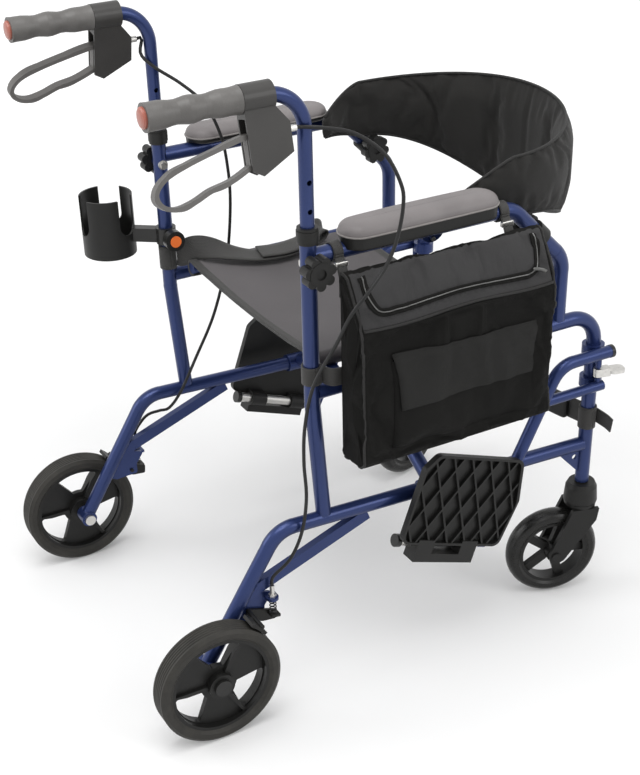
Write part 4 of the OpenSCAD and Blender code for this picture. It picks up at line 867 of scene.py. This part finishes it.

# %% [markdown]
# The seat is one width of nylon stretched between the two seat rails. It is sewn into a sleeve round
# each rail, sags in the middle, and creases run from its corners. Black tape binds its front and back
# edge. Its black is partly painted shade: it also stands in for the shade along the seat's rear edge.
# A simulation would sag it too, but it is drawn tight, so a parabola and a few waves are enough.

# %% Seat surface
RAIL_X, RAIL_R, RAIL_Z, RAIL_GAP = 190.0, 9.5, 509.872, 0.5
SEAT_BACK, SEAT_FRONT, SEAT_T, SEAT_SAG = 206.5, 505.5, 2.4, 11.0


def rail_z(y):
    """Height of a seat rail's axis: a straight line that falls towards the front."""
    return RAIL_Z - (y - PIVOT_Y) * RAIL_SLOPE


def seat_surface():
    """Across: an arc round the left rail, a parabola z = -sag (1 - u^2), an arc round the right rail.
    Along: straight, with creases that fade away from the corners."""
    r = RAIL_R + RAIL_GAP + SEAT_T / 2
    turn = np.radians(np.linspace(-55, -250, 22))
    arc_x, arc_z = -RAIL_X + r * np.cos(turn), r * np.sin(turn)
    u = np.linspace(-1, 1, 81)[1:-1]
    y = np.linspace(SEAT_BACK, SEAT_FRONT, 71)[:, None]
    v = (y - SEAT_BACK) / (SEAT_FRONT - SEAT_BACK) * 2 - 1
    span_z = arc_z[-1] - SEAT_SAG * (1 - 0.25 * v**4) * (1 - u**2)
    corner = np.abs(u) ** 3 * (0.35 + 0.65 * np.abs(v) ** 1.5)
    crease = np.sin(u * 9 + v * 7) * 0.9 + np.sin(u * 17 - v * 12) * 0.5
    span_z = span_z + crease * corner * (1 - np.abs(u) ** 12)
    span_z = span_z - 1.2 * np.exp(-((np.abs(v) - 0.93) / 0.03) ** 2) * (1 - u**2)
    ones = np.ones_like(y)
    x = np.hstack([arc_x * ones, u * -arc_x[-1] * ones, -arc_x[::-1] * ones])
    z = np.hstack([arc_z * ones, span_z, arc_z[::-1] * ones]) + rail_z(y)
    return at_axle(np.stack([x, np.broadcast_to(y, x.shape), z], -1))


def flat_size(mid):
    """Length of a sheet across and along its grid, over the surface, in metres."""
    return float(run_length(mid, 1)[-1]), float(run_length(mid, 0)[-1])


seat_mid = seat_surface()

# %% [markdown]
# The hem tape is only a thicker edge in another cloth. It could be a strip of its own, but that would
# have to follow every crease. So the seat's first and last rows are thicker and take the webbing.

# %% Seat and hem
HEM_FROM, HEM_T = 0.9, 1.6
hem = np.abs(np.linspace(-1, 1, seat_mid.shape[0])) > HEM_FROM
seat = sheet_piece("seat_cloth", seat_mid[::-1], (SEAT_T + HEM_T * hem[:, None]) * MM, "seat")
# Painted shade, in part: the hem's black webbing is real tape and also stands in for the shade along the
# seat's rear edge.
seat.data.materials.append(FINISHES["webbing"])
hem_and_shade_faces = np.repeat(hem[1:] & hem[:-1], 2 * seat_mid.shape[1])
end_faces = np.ones(len(seat.data.polygons) - len(hem_and_shade_faces), bool)
seat.data.polygons.foreach_set("material_index", np.concatenate([hem_and_shade_faces, end_faces]).astype(int))
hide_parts("seat_sling")
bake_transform(seat)
print("seat faces", len(seat.data.polygons), "of which hem", int(hem_and_shade_faces.sum() + end_faces.sum()))

# %% [markdown]
# Each armrest pad is foam under vinyl on a black tray, whose skirt hangs down outside the tube, with a
# pale welt where foam and tray meet. A bevelled box would have the wrong ends. So the outline is a
# stadium, and every ring of the cushion is that outline moved inwards.

# %% Pad outline
PAD_W, PAD_L, PAD_LOW, PAD_H = 57.0, 242.0, 701.5, 25.0
PAD_MID_Y, PAD_ARCH, TRAY_H = 357.0, 1.5, 8.8
SKIRT_FADE, EDGE_RISE, EDGE_FROM, EDGE_RUN = 8, 0.2, 6, 5.4
PAD_RINGS = [(26.0, 0.0), (5.6, 0.0), (4.6, -0.05), (4.2, -0.28), (3.6, -0.36), (1.9, -0.37), (1.0, -0.32),
             (0.7, 0.0), (0.4, 0.22), (0.0, 0.38), (0.5, 0.56), (2.2, 0.72), (5.2, 0.85), (9.5, 0.94),
             (15.0, 0.985), (21.0, 1.0), (28.0, 1.0)]


def stadium(inset, count=96):
    """Outline of a straight piece with half-round ends, moved inwards by the inset."""
    angle = np.linspace(0, 2 * np.pi, count, endpoint=False)
    r = PAD_W / 2 - inset
    straight = PAD_L / 2 - PAD_W / 2
    return r * np.cos(angle), r * np.sin(angle) + straight * np.tanh(9 * np.sin(angle))


def on_armrest(x, y, z, sign):
    """Millimetres from the middle of the pad, with z from the floor, to metres in the frame."""
    return at_axle(np.stack(np.broadcast_arrays(sign * SIDE_X + x, PAD_MID_Y + y, z), -1))


def pad_rings(sign):
    """Rings from the middle of the underside, down round the tray's skirt, up over the edge and to the
    ridge line on top. The skirt is on the outer side, because the seat rail rises inside in the fold:
    there the edge is rounded instead. The top is arched along the pad by 1 - y^2."""
    fine = smooth_line([(inset, share, 0) for inset, share in PAD_RINGS], 68)
    inset, share = np.clip(fine[:, :1], 0, PAD_W / 2 - 0.3), fine[:, 1:2]
    x, y = stadium(inset)
    outer = np.clip((x * sign + SKIRT_FADE) / (2 * SKIRT_FADE), 0, 1)
    rounded = EDGE_RISE * np.clip((EDGE_FROM - inset) / EDGE_RUN, 0, 1) ** 2.2
    share = np.where(share < EDGE_RISE + 0.01, outer * share + (1 - outer) * rounded, share)
    z = PAD_LOW + share * (PAD_H - PAD_ARCH * (y / (PAD_L / 2)) ** 2)
    return on_armrest(x, y, z, sign)


print("pad rings and points", pad_rings(1).shape[:2])

# %% [markdown]
# The tray and the cushion could be two pieces, but a gap between them would show at some pose. So they
# are one closed skin: the faces below the welt take the black nylon, and the welt, a round bead along
# the outline, hides where the two meet.

# %% Armrest pads
WELT_OUT, WELT_R = 0.4, 1.3


def welt(name, line, radius, finish, ref=(0, 0, 1), closed=False):
    """A round bead along a line."""
    body = carried(line, circle(radius, 8), ref)
    return piece(name, body, finish, wrap_rows=closed, wrap_cols=True, caps=not closed)


for side, sign in SIDES:
    rings = pad_rings(sign)[:, ::-1]
    pad = piece(f"{side}_pad", rings, "vinyl", wrap_cols=True, caps=True)
    pad.data.materials.append(FINISHES["nylon"])
    below = rings[1:, :, 2].mean(1) < (PAD_LOW + TRAY_H) * MM
    tray = np.concatenate([np.repeat(below, rings.shape[1]), [True, False]]).astype(int)
    pad.data.polygons.foreach_set("material_index", tray)
    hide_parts(f"{side}_armrest_pad")
    line = on_armrest(*stadium(-WELT_OUT), PAD_LOW + TRAY_H, sign)
    edge = welt(f"{side}_pad_welt", line, WELT_R * MM, "pale_piping", closed=True)
    for made in (pad, edge):
        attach(made, f"{side}_frame")
    print(side, "pad", len(pad.data.polygons), "faces,", int(tray.sum()), "of them on the tray")

# %% [markdown]
# The backrest is a foam band that bows round the sitter's back from one armrest to the other. Seams part
# a middle panel from the two oval wings. A bent strip of even height would look like a belt, so the bow
# is an ellipse, and two formulas give the height of its top and bottom edge at each angle.

# %% Backrest outline
BACK_A, BACK_B, BACK_MID, BACK_T = 212.0, 186.0, 528.0, 16.0
BACK_FROM, BACK_TO = -24.0, 204.0
BACK_TOP, BACK_LOW = 768, 575


def back_edges(a):
    """Heights of the top and bottom edge at each angle of the bow. Both follow powers of the cosine, and
    past the ellipse's middle line powers of the sine, which is 0.407 at the ends."""
    under = np.maximum(0, -np.sin(a)) / 0.407
    top = BACK_TOP - 16 * np.cos(a) ** 2 - 46 * under**1.4
    low = BACK_LOW + 90.54 * np.abs(np.cos(a)) ** 1.6 + 26 * under
    return top, low


def bow(a):
    """Points of the ellipse and their outward normals."""
    at = np.stack([BACK_A * np.cos(a), BACK_MID + BACK_B * np.sin(a)], -1)
    return at, unit(np.stack([np.cos(a) / BACK_A, np.sin(a) / BACK_B], -1))


top, low = back_edges(np.radians(90))
print("backrest, height in the middle", round(float(top - low), 1), "mm")

# %% [markdown]
# Across the band, the foam is thick in the middle and thin at the sewn edges, and stitching draws it in.
# Grooves could be carved afterwards, but the cloth simulation needs to know its seams. So the thickness
# is a formula that falls off to the edges and in a bell curve along each seam.

# %% Backrest section
WING_FROM, WING_BOW, SEAM_W = 175, 34, 5
QUILT_AT, QUILT_W = (0, 72), 4
END_ROUND = 14


def back_grooves(s, end, v):
    """Depth of the stitching, from 0 to 1: bell curves about the wings' oval seams and the quilt lines."""
    wing = WING_FROM + WING_BOW * (1 - (2 * v - 0.75) ** 2)
    groove = np.exp(-(((end[:, None] - wing) / SEAM_W) ** 2))
    middle = np.abs(s - s[-1] / 2)
    for place in QUILT_AT:
        ridge = np.exp(-(((middle - place) / QUILT_W) ** 2))[:, None]
        groove = np.maximum(groove, 0.45 * ridge * (v > 0.06))
    return groove


def back_loop(count=150, faces=30):
    """Section: inner face upwards, then outer face downwards. Thickness across it is 1 - |2v - 1|^6,
    less a groove along each seam. Gives the points, and which of them the seams and edges hold."""
    fine = np.radians(np.linspace(BACK_FROM, BACK_TO, 2000))
    run = travel(bow(fine)[0])
    s = np.linspace(0, run[-1], count)
    a = np.interp(s, run, fine)
    at, n = bow(a)
    top, low = (height[:, None] for height in back_edges(a))
    v = 0.5 - 0.5 * np.cos(np.linspace(0, np.pi, faces))
    end = np.minimum(s, s[-1] - s)
    groove = back_grooves(s, end, v)
    taper = np.sqrt(np.clip(1 - (1 - end / END_ROUND) ** 2, 0.02, 1))
    taper[end > END_ROUND] = 1
    taper = taper[:, None]
    half = BACK_T / 2 * (1 - np.abs(2 * v - 1) ** 6) * taper
    inner = -half * (1 - 0.75 * groove) + 0.4
    outer = half * (1 - 0.3 * (groove > 0.5))
    trim = (1 - taper) * 0.06
    z = low + (top - low) * (v * (1 - 2 * trim) + trim)
    depth = np.hstack([inner, outer[:, ::-1]])
    z = np.hstack([z, z[:, ::-1]])
    xy = at[:, None] + n[:, None] * depth[..., None]
    held = np.hstack([groove > 0.4, np.zeros_like(groove, bool)])
    held[:, [0, faces - 1, faces, 2 * faces - 1]] = True
    held[[0, 1, -2, -1]] = True
    return at_axle(np.concatenate([xy, z[..., None]], -1)), held.ravel(), faces


back_points, back_held, back_faces = back_loop()
print("backrest points", len(back_held), "of which held", int(back_held.sum()))

# %% [markdown]
# The form is now sewn and stuffed: it is simulated as cloth with its seams and edges held, and a bead
# runs along its top and bottom edge.

# %% Stuff the backrest
TOP_BEAD_R, LOW_BEAD_R = 2.2, 2.0
backrest = piece("backrest_pad", back_points, "back_cloth", wrap_cols=True, caps=True)
shaped = puff(backrest, back_held, pressure=4.0, cap=5 * MM).reshape(back_points.shape)
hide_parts("backrest")
top_line = (shaped[:, back_faces - 1] + shaped[:, back_faces]) / 2
low_line = (shaped[:, 0] + shaped[:, -1]) / 2
beads = [welt("backrest_top_bead", top_line[1:-1], TOP_BEAD_R * MM, "piping"),
         welt("backrest_low_bead", low_line[1:-1], LOW_BEAD_R * MM, "piping")]
for made in [backrest, *beads]:
    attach(made, "right_frame")
    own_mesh(made)
print("backrest, along its top", round(float(travel(top_line)[-1]), 3), "m")

# %% [markdown]
# The saddle bag hangs from the armrest tube. It is unlined polyester with a zipped lid that slopes
# outwards, so it sags and creases. A box with bevels would stay stiff. So a section with the lid's slope
# is lofted along the bag, with slow waves in it that the cloth simulation then builds on.

# %% Saddle bag
BAG_IN, BAG_OUT = 265.5, 326.5
BAG_LOW, BAG_LID, BAG_TOP = 399.5, 611.0, 674.5
BAG_BACK, BAG_FRONT = 217.5, 526.5
BAG_L = BAG_FRONT - BAG_BACK
LID_DIP, PANEL_LEAN, END_TUCK = 7, 3.0, 5
BAG_ENDS = [(0.05, 0), (0.35, 0), (0.7, 0), (0.93, 0), (0.985, 1.5), (1.0, 5.0)]


def bag_section(count=132):
    """Corners joined by straight lines, points evenly spread: up the inside, over the lid, down the
    outside and along the bottom."""
    corners = np.array([(BAG_IN, BAG_LOW + 8), (BAG_IN, BAG_TOP - 6), (BAG_IN + 6, BAG_TOP),
                        (BAG_IN + 18, BAG_TOP - 2), (BAG_OUT - 5, BAG_LID + 3), (BAG_OUT, BAG_LID - 5),
                        (BAG_OUT, BAG_LOW + 14), (BAG_OUT - 8, BAG_LOW + 5), (BAG_IN + 8, BAG_LOW),
                        (BAG_IN, BAG_LOW + 8)])
    run = travel(corners)
    at = np.linspace(0, run[-1], count, endpoint=False)
    return np.interp(at, run, corners[:, 0]), np.interp(at, run, corners[:, 1])


def bag_loft(x, z, rows=66):
    """The section along the bag. End rows shrink towards the section's middle, so the ends close flat.
    A lean of the outer panel and a dip in the lid's outer edge are sines along the bag, which fade to
    its ends with the root of a sine."""
    mid_x, mid_z = (BAG_IN + BAG_OUT) / 2, (BAG_LOW + BAG_LID) / 2
    first, last = BAG_ENDS[-1][1], BAG_L - BAG_ENDS[-1][1]
    body = [(1.0, first + (last - first) * k / rows) for k in range(1, rows)]
    spots = BAG_ENDS + body + [(scale, BAG_L - y) for scale, y in BAG_ENDS[::-1]]
    scale, y = (column[:, None] for column in np.array(spots).T)
    u = y / BAG_L
    bulge = np.sin(np.pi * u) ** 0.5
    outer = np.clip((x - mid_x) / (BAG_OUT - mid_x), 0, 1)
    drop = LID_DIP * np.sin(2.2 * np.pi * u + 0.8) * np.exp(-(((z - BAG_LID) / 26) ** 2)) * outer * bulge
    lean = PANEL_LEAN * outer * np.sin((z - BAG_LOW) / 38 + 3 * u) * bulge
    tuck = END_TUCK * (1 - bulge) * outer * (z > BAG_LID - 30)
    px, pz = x - 1.5 * outer + 0.4 * lean - tuck, z - drop * 0.6 - 2 * outer
    px, pz = mid_x + scale * (px - mid_x), mid_z + scale * (pz - mid_z)
    return at_axle(np.stack([px, np.broadcast_to(BAG_BACK + y, px.shape), pz], -1))


bag_x, bag_z = bag_section()
bag_points = bag_loft(bag_x, bag_z)
bag_cap = len(BAG_ENDS)
print("bag points", bag_points.shape[:2])

# %% [markdown]
# Creases could be bumps in the material, but then the bag's outline would stay straight. So the edges
# that are sewn with piping are held, and the cloth simulation fills out the panels between them. The lid
# is a paler cloth than the sides, and its faces take a second material.

# %% Puff up the bag
inside = bag_x < BAG_IN + 1
rim = (np.abs(bag_x - BAG_OUT) < 7) & (np.abs(bag_z - BAG_LID) < 6)
foot = (bag_z < BAG_LOW + 9) & (np.abs(bag_x - BAG_OUT) < 9)
held = np.zeros(bag_points.shape[:2], bool)
held[:, inside | rim | foot] = True
held[[bag_cap - 1, -bag_cap]] = True
bag = piece("bag_body", bag_points, "black_cloth", wrap_cols=True, caps=True)
bag_form = puff(bag, held.ravel(), pressure=1.2, cap=6 * MM, slack=0.05).reshape(bag_points.shape)
bag.data.materials.append(FINISHES["lid_cloth"])
on_lid = (bag_z > BAG_LID + 4) & (bag_x > BAG_IN + 10)
lid_rows = np.zeros(bag_points.shape[0] - 1, bool)
lid_rows[bag_cap - 1:-bag_cap + 1] = True
tags = np.zeros(len(bag.data.polygons), int)
tags[:lid_rows.size * on_lid.size] = np.outer(lid_rows, on_lid).ravel()
bag.data.polygons.foreach_set("material_index", tags)
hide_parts("saddle_bag")
print("bag faces", len(tags), "of which on the lid", int(tags.sum()))

# %% [markdown]
# A pocket with a loose flap is sewn on the bag's outer panel. They could be pressed out of the panel
# itself, but then the flap couldn't stand off. So both are sheets that are laid on the simulated panel
# and lifted from it: the pocket in its middle, the flap towards its free lower edge.

# %% Pocket and flap
POCKET_T, FLAP_T = 1.6, 1.8
POCKET = ((262, 428), (494, 424), (494, 552), (262, 556))
FLAP = ((270, 488), (490, 484), (494, 560), (264, 566))
outer_cols = np.flatnonzero((bag_x > BAG_OUT - 3) & (bag_z < BAG_LID) & (bag_z > BAG_LOW + 8))
panel = bag_form[bag_cap:-bag_cap, outer_cols[::-1]]


def between(grid, row, col):
    """Points of a grid at fractions of rows and columns: its four neighbours, weighted by nearness."""
    i = np.minimum(row.astype(int), grid.shape[0] - 2)
    j = np.minimum(col.astype(int), grid.shape[1] - 2)
    f, g = (row - i)[..., None], (col - j)[..., None]
    return (grid[i, j] * (1 - f) * (1 - g) + grid[i + 1, j] * f * (1 - g)
            + grid[i, j + 1] * (1 - f) * g + grid[i + 1, j + 1] * f * g)


def outer_face(y, z, lift):
    """Point of the bag's outer panel at a place along it and a height, moved outwards by the lift."""
    row = np.interp(y * MM + AXLE_Y, panel[:, panel.shape[1] // 2, 1], np.arange(panel.shape[0]))
    col = np.interp(z * MM, panel[panel.shape[0] // 2, :, 2], np.arange(panel.shape[1]))
    x = between(panel, row, col)[..., 0]
    return np.stack([x + lift * MM, y * MM + AXLE_Y, z * MM], -1)


def patch(back_low, front_low, front_top, back_top, rows=40, cols=24):
    """Places (y, z) spread evenly over a four-cornered panel, and their shares of its two directions."""
    v, u = np.meshgrid(np.linspace(0, 1, rows), np.linspace(0, 1, cols), indexing="ij")
    corners = [np.array(c, float) for c in (back_low, front_low, front_top, back_top)]
    weights = [(1 - u) * (1 - v), u * (1 - v), u * v, (1 - u) * v]
    at = sum(w[..., None] * c for w, c in zip(weights, corners))
    return at[..., 0], at[..., 1], u, v


def edge_rise(u, v, sharp):
    """0 on the panel's border, 1 inside it: 1 - e^-(border * sharp)^1.5."""
    border = np.minimum(np.minimum(u, 1 - u), np.minimum(v, 1 - v))
    return 1 - np.exp(-((border * sharp) ** 1.5))


py, pz, u, v = patch(*POCKET)
pocket_lift = 0.2 + 4.2 * edge_rise(u, v, 14) + 0.8 * np.sin(5 * u + 3 * v) * edge_rise(u, v, 8)
pocket = sheet_piece("bag_pocket", outer_face(py, pz, pocket_lift), POCKET_T * MM, "black_cloth")
fy, fz, u, v = patch(*FLAP)
flap_lift = 4.8 + 1.9 * (1 - v) ** 2 + 0.5 * np.sin(6 * u) * (1 - v)
flap_lift = flap_lift * np.clip((1 - v) * 9, 0.35, 1)
flap_mid = outer_face(fy, fz, flap_lift)
flap = sheet_piece("bag_flap", flap_mid, FLAP_T * MM, "flap_cloth")
bag_bits = [pocket, flap]
print("flap, laid flat", [round(side, 3) for side in flat_size(flap_mid)], "m")

# %% [markdown]
# Piping covers the seams: one bead along the lid's outer edge and one round each end panel. A bevel
# would round the edge but show no seam. Each bead runs through the simulated points, so it dips and
# bends with the cloth.

# %% Piping
RIM_BEAD_R, END_BEAD_R, BEAD_STEP = 2.0, 1.9, 5
lid_edge = (np.abs(bag_x - (BAG_OUT - 2)) < 3.5) & (np.abs(bag_z - (BAG_LID - 1)) < 5)
rim_line = bag_form[bag_cap - 1:-bag_cap + 1, lid_edge].mean(1) + np.array([1.0, 0, 0.6]) * MM
bag_bits.append(welt("bag_rim_bead", rim_line, RIM_BEAD_R * MM, "piping"))
for label, ring in (("back", bag_cap - 2), ("front", -bag_cap + 1)):
    outline = bag_form[ring][(bag_x > BAG_IN + 4) | (bag_z < BAG_LOW + 6)]
    start = np.argmax(outline[:, 2])
    bead = even_line(np.roll(outline, -start, axis=0)[:-1], BEAD_STEP * MM)
    bag_bits.append(welt(f"bag_{label}_bead", bead, END_BEAD_R * MM, "piping", ref=(0, 1, 0)))
print("rim bead", round(float(travel(rim_line)[-1]), 3), "m")

# %% [markdown]
# The lid's zip is a pale coil between two tapes. It follows the lid's outer edge and turns up along both
# ends, and its slider has a small pull that hangs over the edge. Every tooth could be modelled, but the
# coil is under 2 mm thick, so it is one bead on a tape that lies on the simulated lid.

# %% Zip
TAPE_W, TAPE_T, TAPE_LIFT = 12, 1.0, 1.5
ZIP_LIFT, ZIP_R = 2.5, 0.95
PULL_AT, PULL_W, PULL_T = 118, 5, 1.4
LID_OUT = np.array([0.7, 0, 0.72])
LID_SIZE = np.array([BAG_L, math.hypot(BAG_OUT - BAG_IN, BAG_TOP - BAG_LID)])
lid_cols = np.flatnonzero(on_lid)
lid_cols = lid_cols[np.argsort(-bag_z[lid_cols])]
lid = bag_form[bag_cap - 1:-bag_cap + 1][:, lid_cols]


def ribbon(path, width, across, count=7):
    """Middle surface of a band: the path, with points spread across it."""
    spread = np.linspace(-0.5, 0.5, count)[None, :, None] * width
    return path[:, None] + spread * directions(path, across)[1][:, None]


def lid_point(u, share, lift):
    """Point of the lid at a share of the bag's length and of the lid's width, 0 at the arm tube."""
    row = np.interp(u, [0, 1], [0, lid.shape[0] - 1])
    col = np.interp(share, [0, 1], [0, lid.shape[1] - 1])
    return between(lid, row, col) + LID_OUT * lift * MM


track = smooth_line([(0.05, 0.12), (0.055, 0.5), (0.09, 0.8), (0.2, 0.84), (0.5, 0.8), (0.8, 0.84),
                     (0.91, 0.8), (0.945, 0.5), (0.95, 0.12)], 160)
run = unit(np.gradient(track, axis=0) * LID_SIZE)
spread = np.linspace(-0.5, 0.5, 7) * TAPE_W
tape_u = track[:, :1] - run[:, 1:] * spread / LID_SIZE[0]
tape_share = track[:, 1:] + run[:, :1] * spread / LID_SIZE[1]
tape = sheet_piece("zip_tape", lid_point(tape_u, tape_share, TAPE_LIFT), TAPE_T * MM, "black_cloth")
coil_line = lid_point(*track.T, ZIP_LIFT)
coil = welt("zip_coil", coil_line, ZIP_R * MM, "zip", ref=LID_OUT)
hang = np.array([(0, 0, 2.4), (1.5, 2, 3.2), (3.4, 6, 3.0), (5.2, 12, 1.0), (6.2, 17, -2.0)]) * MM
pull_line = smooth_line(lid_point(*track.T, TAPE_LIFT)[PULL_AT] + hang, 14)
pull = sheet_piece("zip_pull", ribbon(pull_line, PULL_W * MM, (0.2, 0.3, 1), 3), PULL_T * MM, "zip")
bag_bits += [tape, coil, pull]
for made in [bag, *bag_bits]:
    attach(made, "right_frame")
print("zip", round(float(travel(coil_line)[-1]), 3), "m, bag pieces", len(bag_bits) + 1)

# %% [markdown]
# Webbing ties the soft pieces to the tubes. It could be cut from one long band, but each stretch has its
# own way to lie. So every loop is a ring of band round its tube, every free stretch is a ribbon along a
# smooth line, and buckles and slides are small rounded blocks.

# %% Strap parts
STRAP_T, TUBE_R = 2.4, 11.1
UPRIGHT, CHAIRWISE = (0, 0, 1), (0, 1, 0)


def loop_round(name, centre, axis, gap, width):
    """A band round a tube, a gap away from it. Points run round the circle, and across the band along
    the axis."""
    radius = TUBE_R + gap + STRAP_T / 2
    angle = np.radians(np.linspace(0, 360, 41))[:, None]
    side = np.array([1.0, 0, 0])
    line = np.asarray(centre) + radius * (np.cos(angle) * side + np.sin(angle) * np.cross(axis, side))
    return sheet_piece(name, at_axle(ribbon(line, width, axis)), STRAP_T * MM, "webbing")


def strap(name, line, width, across, count):
    """A ribbon along a smooth line in millimetres. Gives the piece and its length in metres."""
    line = at_axle(smooth_line(line, count))
    made = sheet_piece(name, ribbon(line, width * MM, across), STRAP_T * MM, "webbing")
    return made, float(travel(line)[-1])


def block(name, centre, size, turn, finish):
    """A block with rounded corners: a superellipsoid, where |x|^8 + |y|^8 + |z|^8 = 1, turned about the
    upright by some degrees."""
    a = np.linspace(-np.pi / 2, np.pi / 2, 25)
    b = np.linspace(-np.pi, np.pi, 48, endpoint=False)
    a, b = np.meshgrid(a, b, indexing="ij")
    shape = np.stack([np.cos(a) * np.cos(b), np.cos(a) * np.sin(b), np.sin(a)], -1)
    shape /= (np.abs(shape) ** 8).sum(-1, keepdims=True) ** (1 / 8)
    shape = shape[1:-1] * np.asarray(size) / 2
    c, s = math.cos(math.radians(turn)), math.sin(math.radians(turn))
    spun = shape @ np.array([[c, s, 0], [-s, c, 0], [0, 0, 1]])
    return piece(name, at_axle(spun + np.asarray(centre)), finish, wrap_cols=True, caps=True)


print("straps", STRAP_T, "mm thick on tubes of", 2 * TUBE_R, "mm")

# %% [markdown]
# The lap belt is sewn round the left upright. It leaves it standing on edge, turns over to lie loose on
# the seat, and its end is turned back over itself in a loop. A simulation would flatten that loop, so
# the line is drawn, and the direction across the band goes smoothly from upright to flat.

# %% Lap belt
UPRIGHT_Y, BELT_W, BELT_Z, BELT_GAP = 188.0, 38.0, 526, 0.4
BELT_REST, BELT_SAG, SEAT_HALF = 17.7, 10.5, 194
BELT_COUNT, TWIST_FROM, TWIST_OVER = 150, 0.03, 0.3


def on_seat(x, y, lift):
    """A point above the seat, whose top is a parabola across, taken at the belt's outer edge."""
    u = min(1, abs(x - BELT_W / 2) / SEAT_HALF)
    return (x, y, rail_z(y) + BELT_REST - BELT_SAG * (1 - u**2) + lift)


LAID = [(-204, 218, 9), (-186, 240, 11), (-165, 270, 6), (-150, 304, 2.6), (-146, 344, 2.6),
        (-156, 386, 2.6), (-172, 420, 2.6), (-177, 432, 5), (-178, 437, 11), (-174, 429, 16),
        (-166, 409, 12), (-155, 382, 7.6), (-147, 346, 6.8), (-151, 308, 7.0)]
belt_line = [(-225.9, 199.1, 530), (-219, 205, 531)] + [on_seat(*spot) for spot in LAID]
twist = np.clip((np.linspace(0, 1, BELT_COUNT)[:, None] - TWIST_FROM) / TWIST_OVER, 0, 1)
twist = twist**2 * (3 - 2 * twist)
belt_across = np.array(UPRIGHT) * (1 - twist) + np.array([-0.9, 0.4, 0.06]) * twist
belt, belt_length = strap("lap_belt", belt_line, BELT_W, belt_across, BELT_COUNT)
belt_loop = loop_round("lap_belt_loop", (-SIDE_X, UPRIGHT_Y, BELT_Z), UPRIGHT, BELT_GAP, BELT_W)
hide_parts("seat_belt")
for made in (belt, belt_loop):
    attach(made, "left_frame")
tuple(at_axle([-226, 196, 526]))
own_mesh(belt)
print("belt", round(belt_length, 3), "m")

# %% [markdown]
# The calf strap keeps the feet from sliding back. It bows between the front posts and closes with a
# side-release buckle, whose tail sticks out past the right post. A hanging chain's curve is close to a
# parabola, so the bow is one.

# %% Calf strap
POST_Y, CALF_Z, CALF_W, CALF_GAP = 672.0, 318.0, 36.0, 0.4
CALF_BOW, CALF_SAG, CALF_FOLDED = 24, 1.5, 0.613
TAIL_W = 24
TAIL = [(235, POST_Y + 13.5, CALF_Z), (250, POST_Y + 13.6, CALF_Z), (266, POST_Y + 14.6, CALF_Z - 1),
        (279, POST_Y + 14.2, CALF_Z - 3)]
reach = SIDE_X - TUBE_R - 0.3 - STRAP_T / 2
k = np.linspace(-1, 1, 9)
calf_line = np.stack([k * reach, POST_Y - CALF_BOW * (1 - k**2), CALF_Z - CALF_SAG * (1 - k**2)], -1)
calf, calf_length = strap("calf_strap_web", calf_line, CALF_W, UPRIGHT, 80)
calf_bits = [loop_round(f"calf_loop_{side}", (sign * SIDE_X, POST_Y, CALF_Z), UPRIGHT, CALF_GAP, CALF_W)
             for side, sign in SIDES]
calf_bits.append(strap("calf_tail", TAIL, TAIL_W, UPRIGHT, 24)[0])
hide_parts("calf_strap")
calf_bits.append(block("calf_buckle", (176, POST_Y - 13.5, CALF_Z), (48, 10, 40), 11, "nylon"))
for made in [calf, *calf_bits]:
    if made.name == "calf_loop_left":
        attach(made, "left_frame")
        continue
    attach(made, "right_frame")
    if made.name in ("calf_strap_web", "calf_buckle"):
        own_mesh(made)
print("calf strap", round(calf_length, 3), "m")

# %% [markdown]
# Two loops hang the bag from the armrest tube, each with a metal slide on its strap, and a third holds it
# to the upright. They could be left out behind the bag, but from above and behind they show what carries
# it.

# %% Bag straps
ARM_Z, SIDE_Z, BAG_GAP = 690, 522, 0.6
LOOP_R = TUBE_R + BAG_GAP + STRAP_T / 2
HANG_X = 264 - 0.3 - STRAP_T / 2
DROP_W, SIDE_W = 14, 26
DROPS_Y = (226, 487)
bag_web = []
for number, y in enumerate(DROPS_Y):
    ring = loop_round(f"bag_loop_{number}", (SIDE_X, y, ARM_Z), CHAIRWISE, BAG_GAP, DROP_W)
    fall = [(SIDE_X + LOOP_R + 0.3, y, 686), (258, y, 674), (HANG_X, y, 662), (HANG_X, y, 636)]
    drop, drop_length = strap(f"bag_drop_{number}", fall, DROP_W, CHAIRWISE, 20)
    slide = block(f"bag_slide_{number}", (255.4, y, 678.4), (6, 19, 8), 0, "steel")
    bag_web += [ring, drop, slide]
grip = loop_round("bag_upright_loop", (SIDE_X, UPRIGHT_Y, SIDE_Z), UPRIGHT, BAG_GAP, SIDE_W)
front = UPRIGHT_Y + LOOP_R
side_line = [(240, front + 0.2, SIDE_Z), (252, front + 1, SIDE_Z), (HANG_X, front + 10, SIDE_Z),
             (HANG_X, front + 39, SIDE_Z)]
side_web, side_length = strap("bag_upright_web", side_line, SIDE_W, UPRIGHT, 30)
bag_web += [grip, side_web]
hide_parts("bag_straps")
for made in bag_web:
    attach(made, "right_frame")
print("bag straps", round(drop_length, 3), "m and", round(side_length, 3), "m")

# %% [markdown]
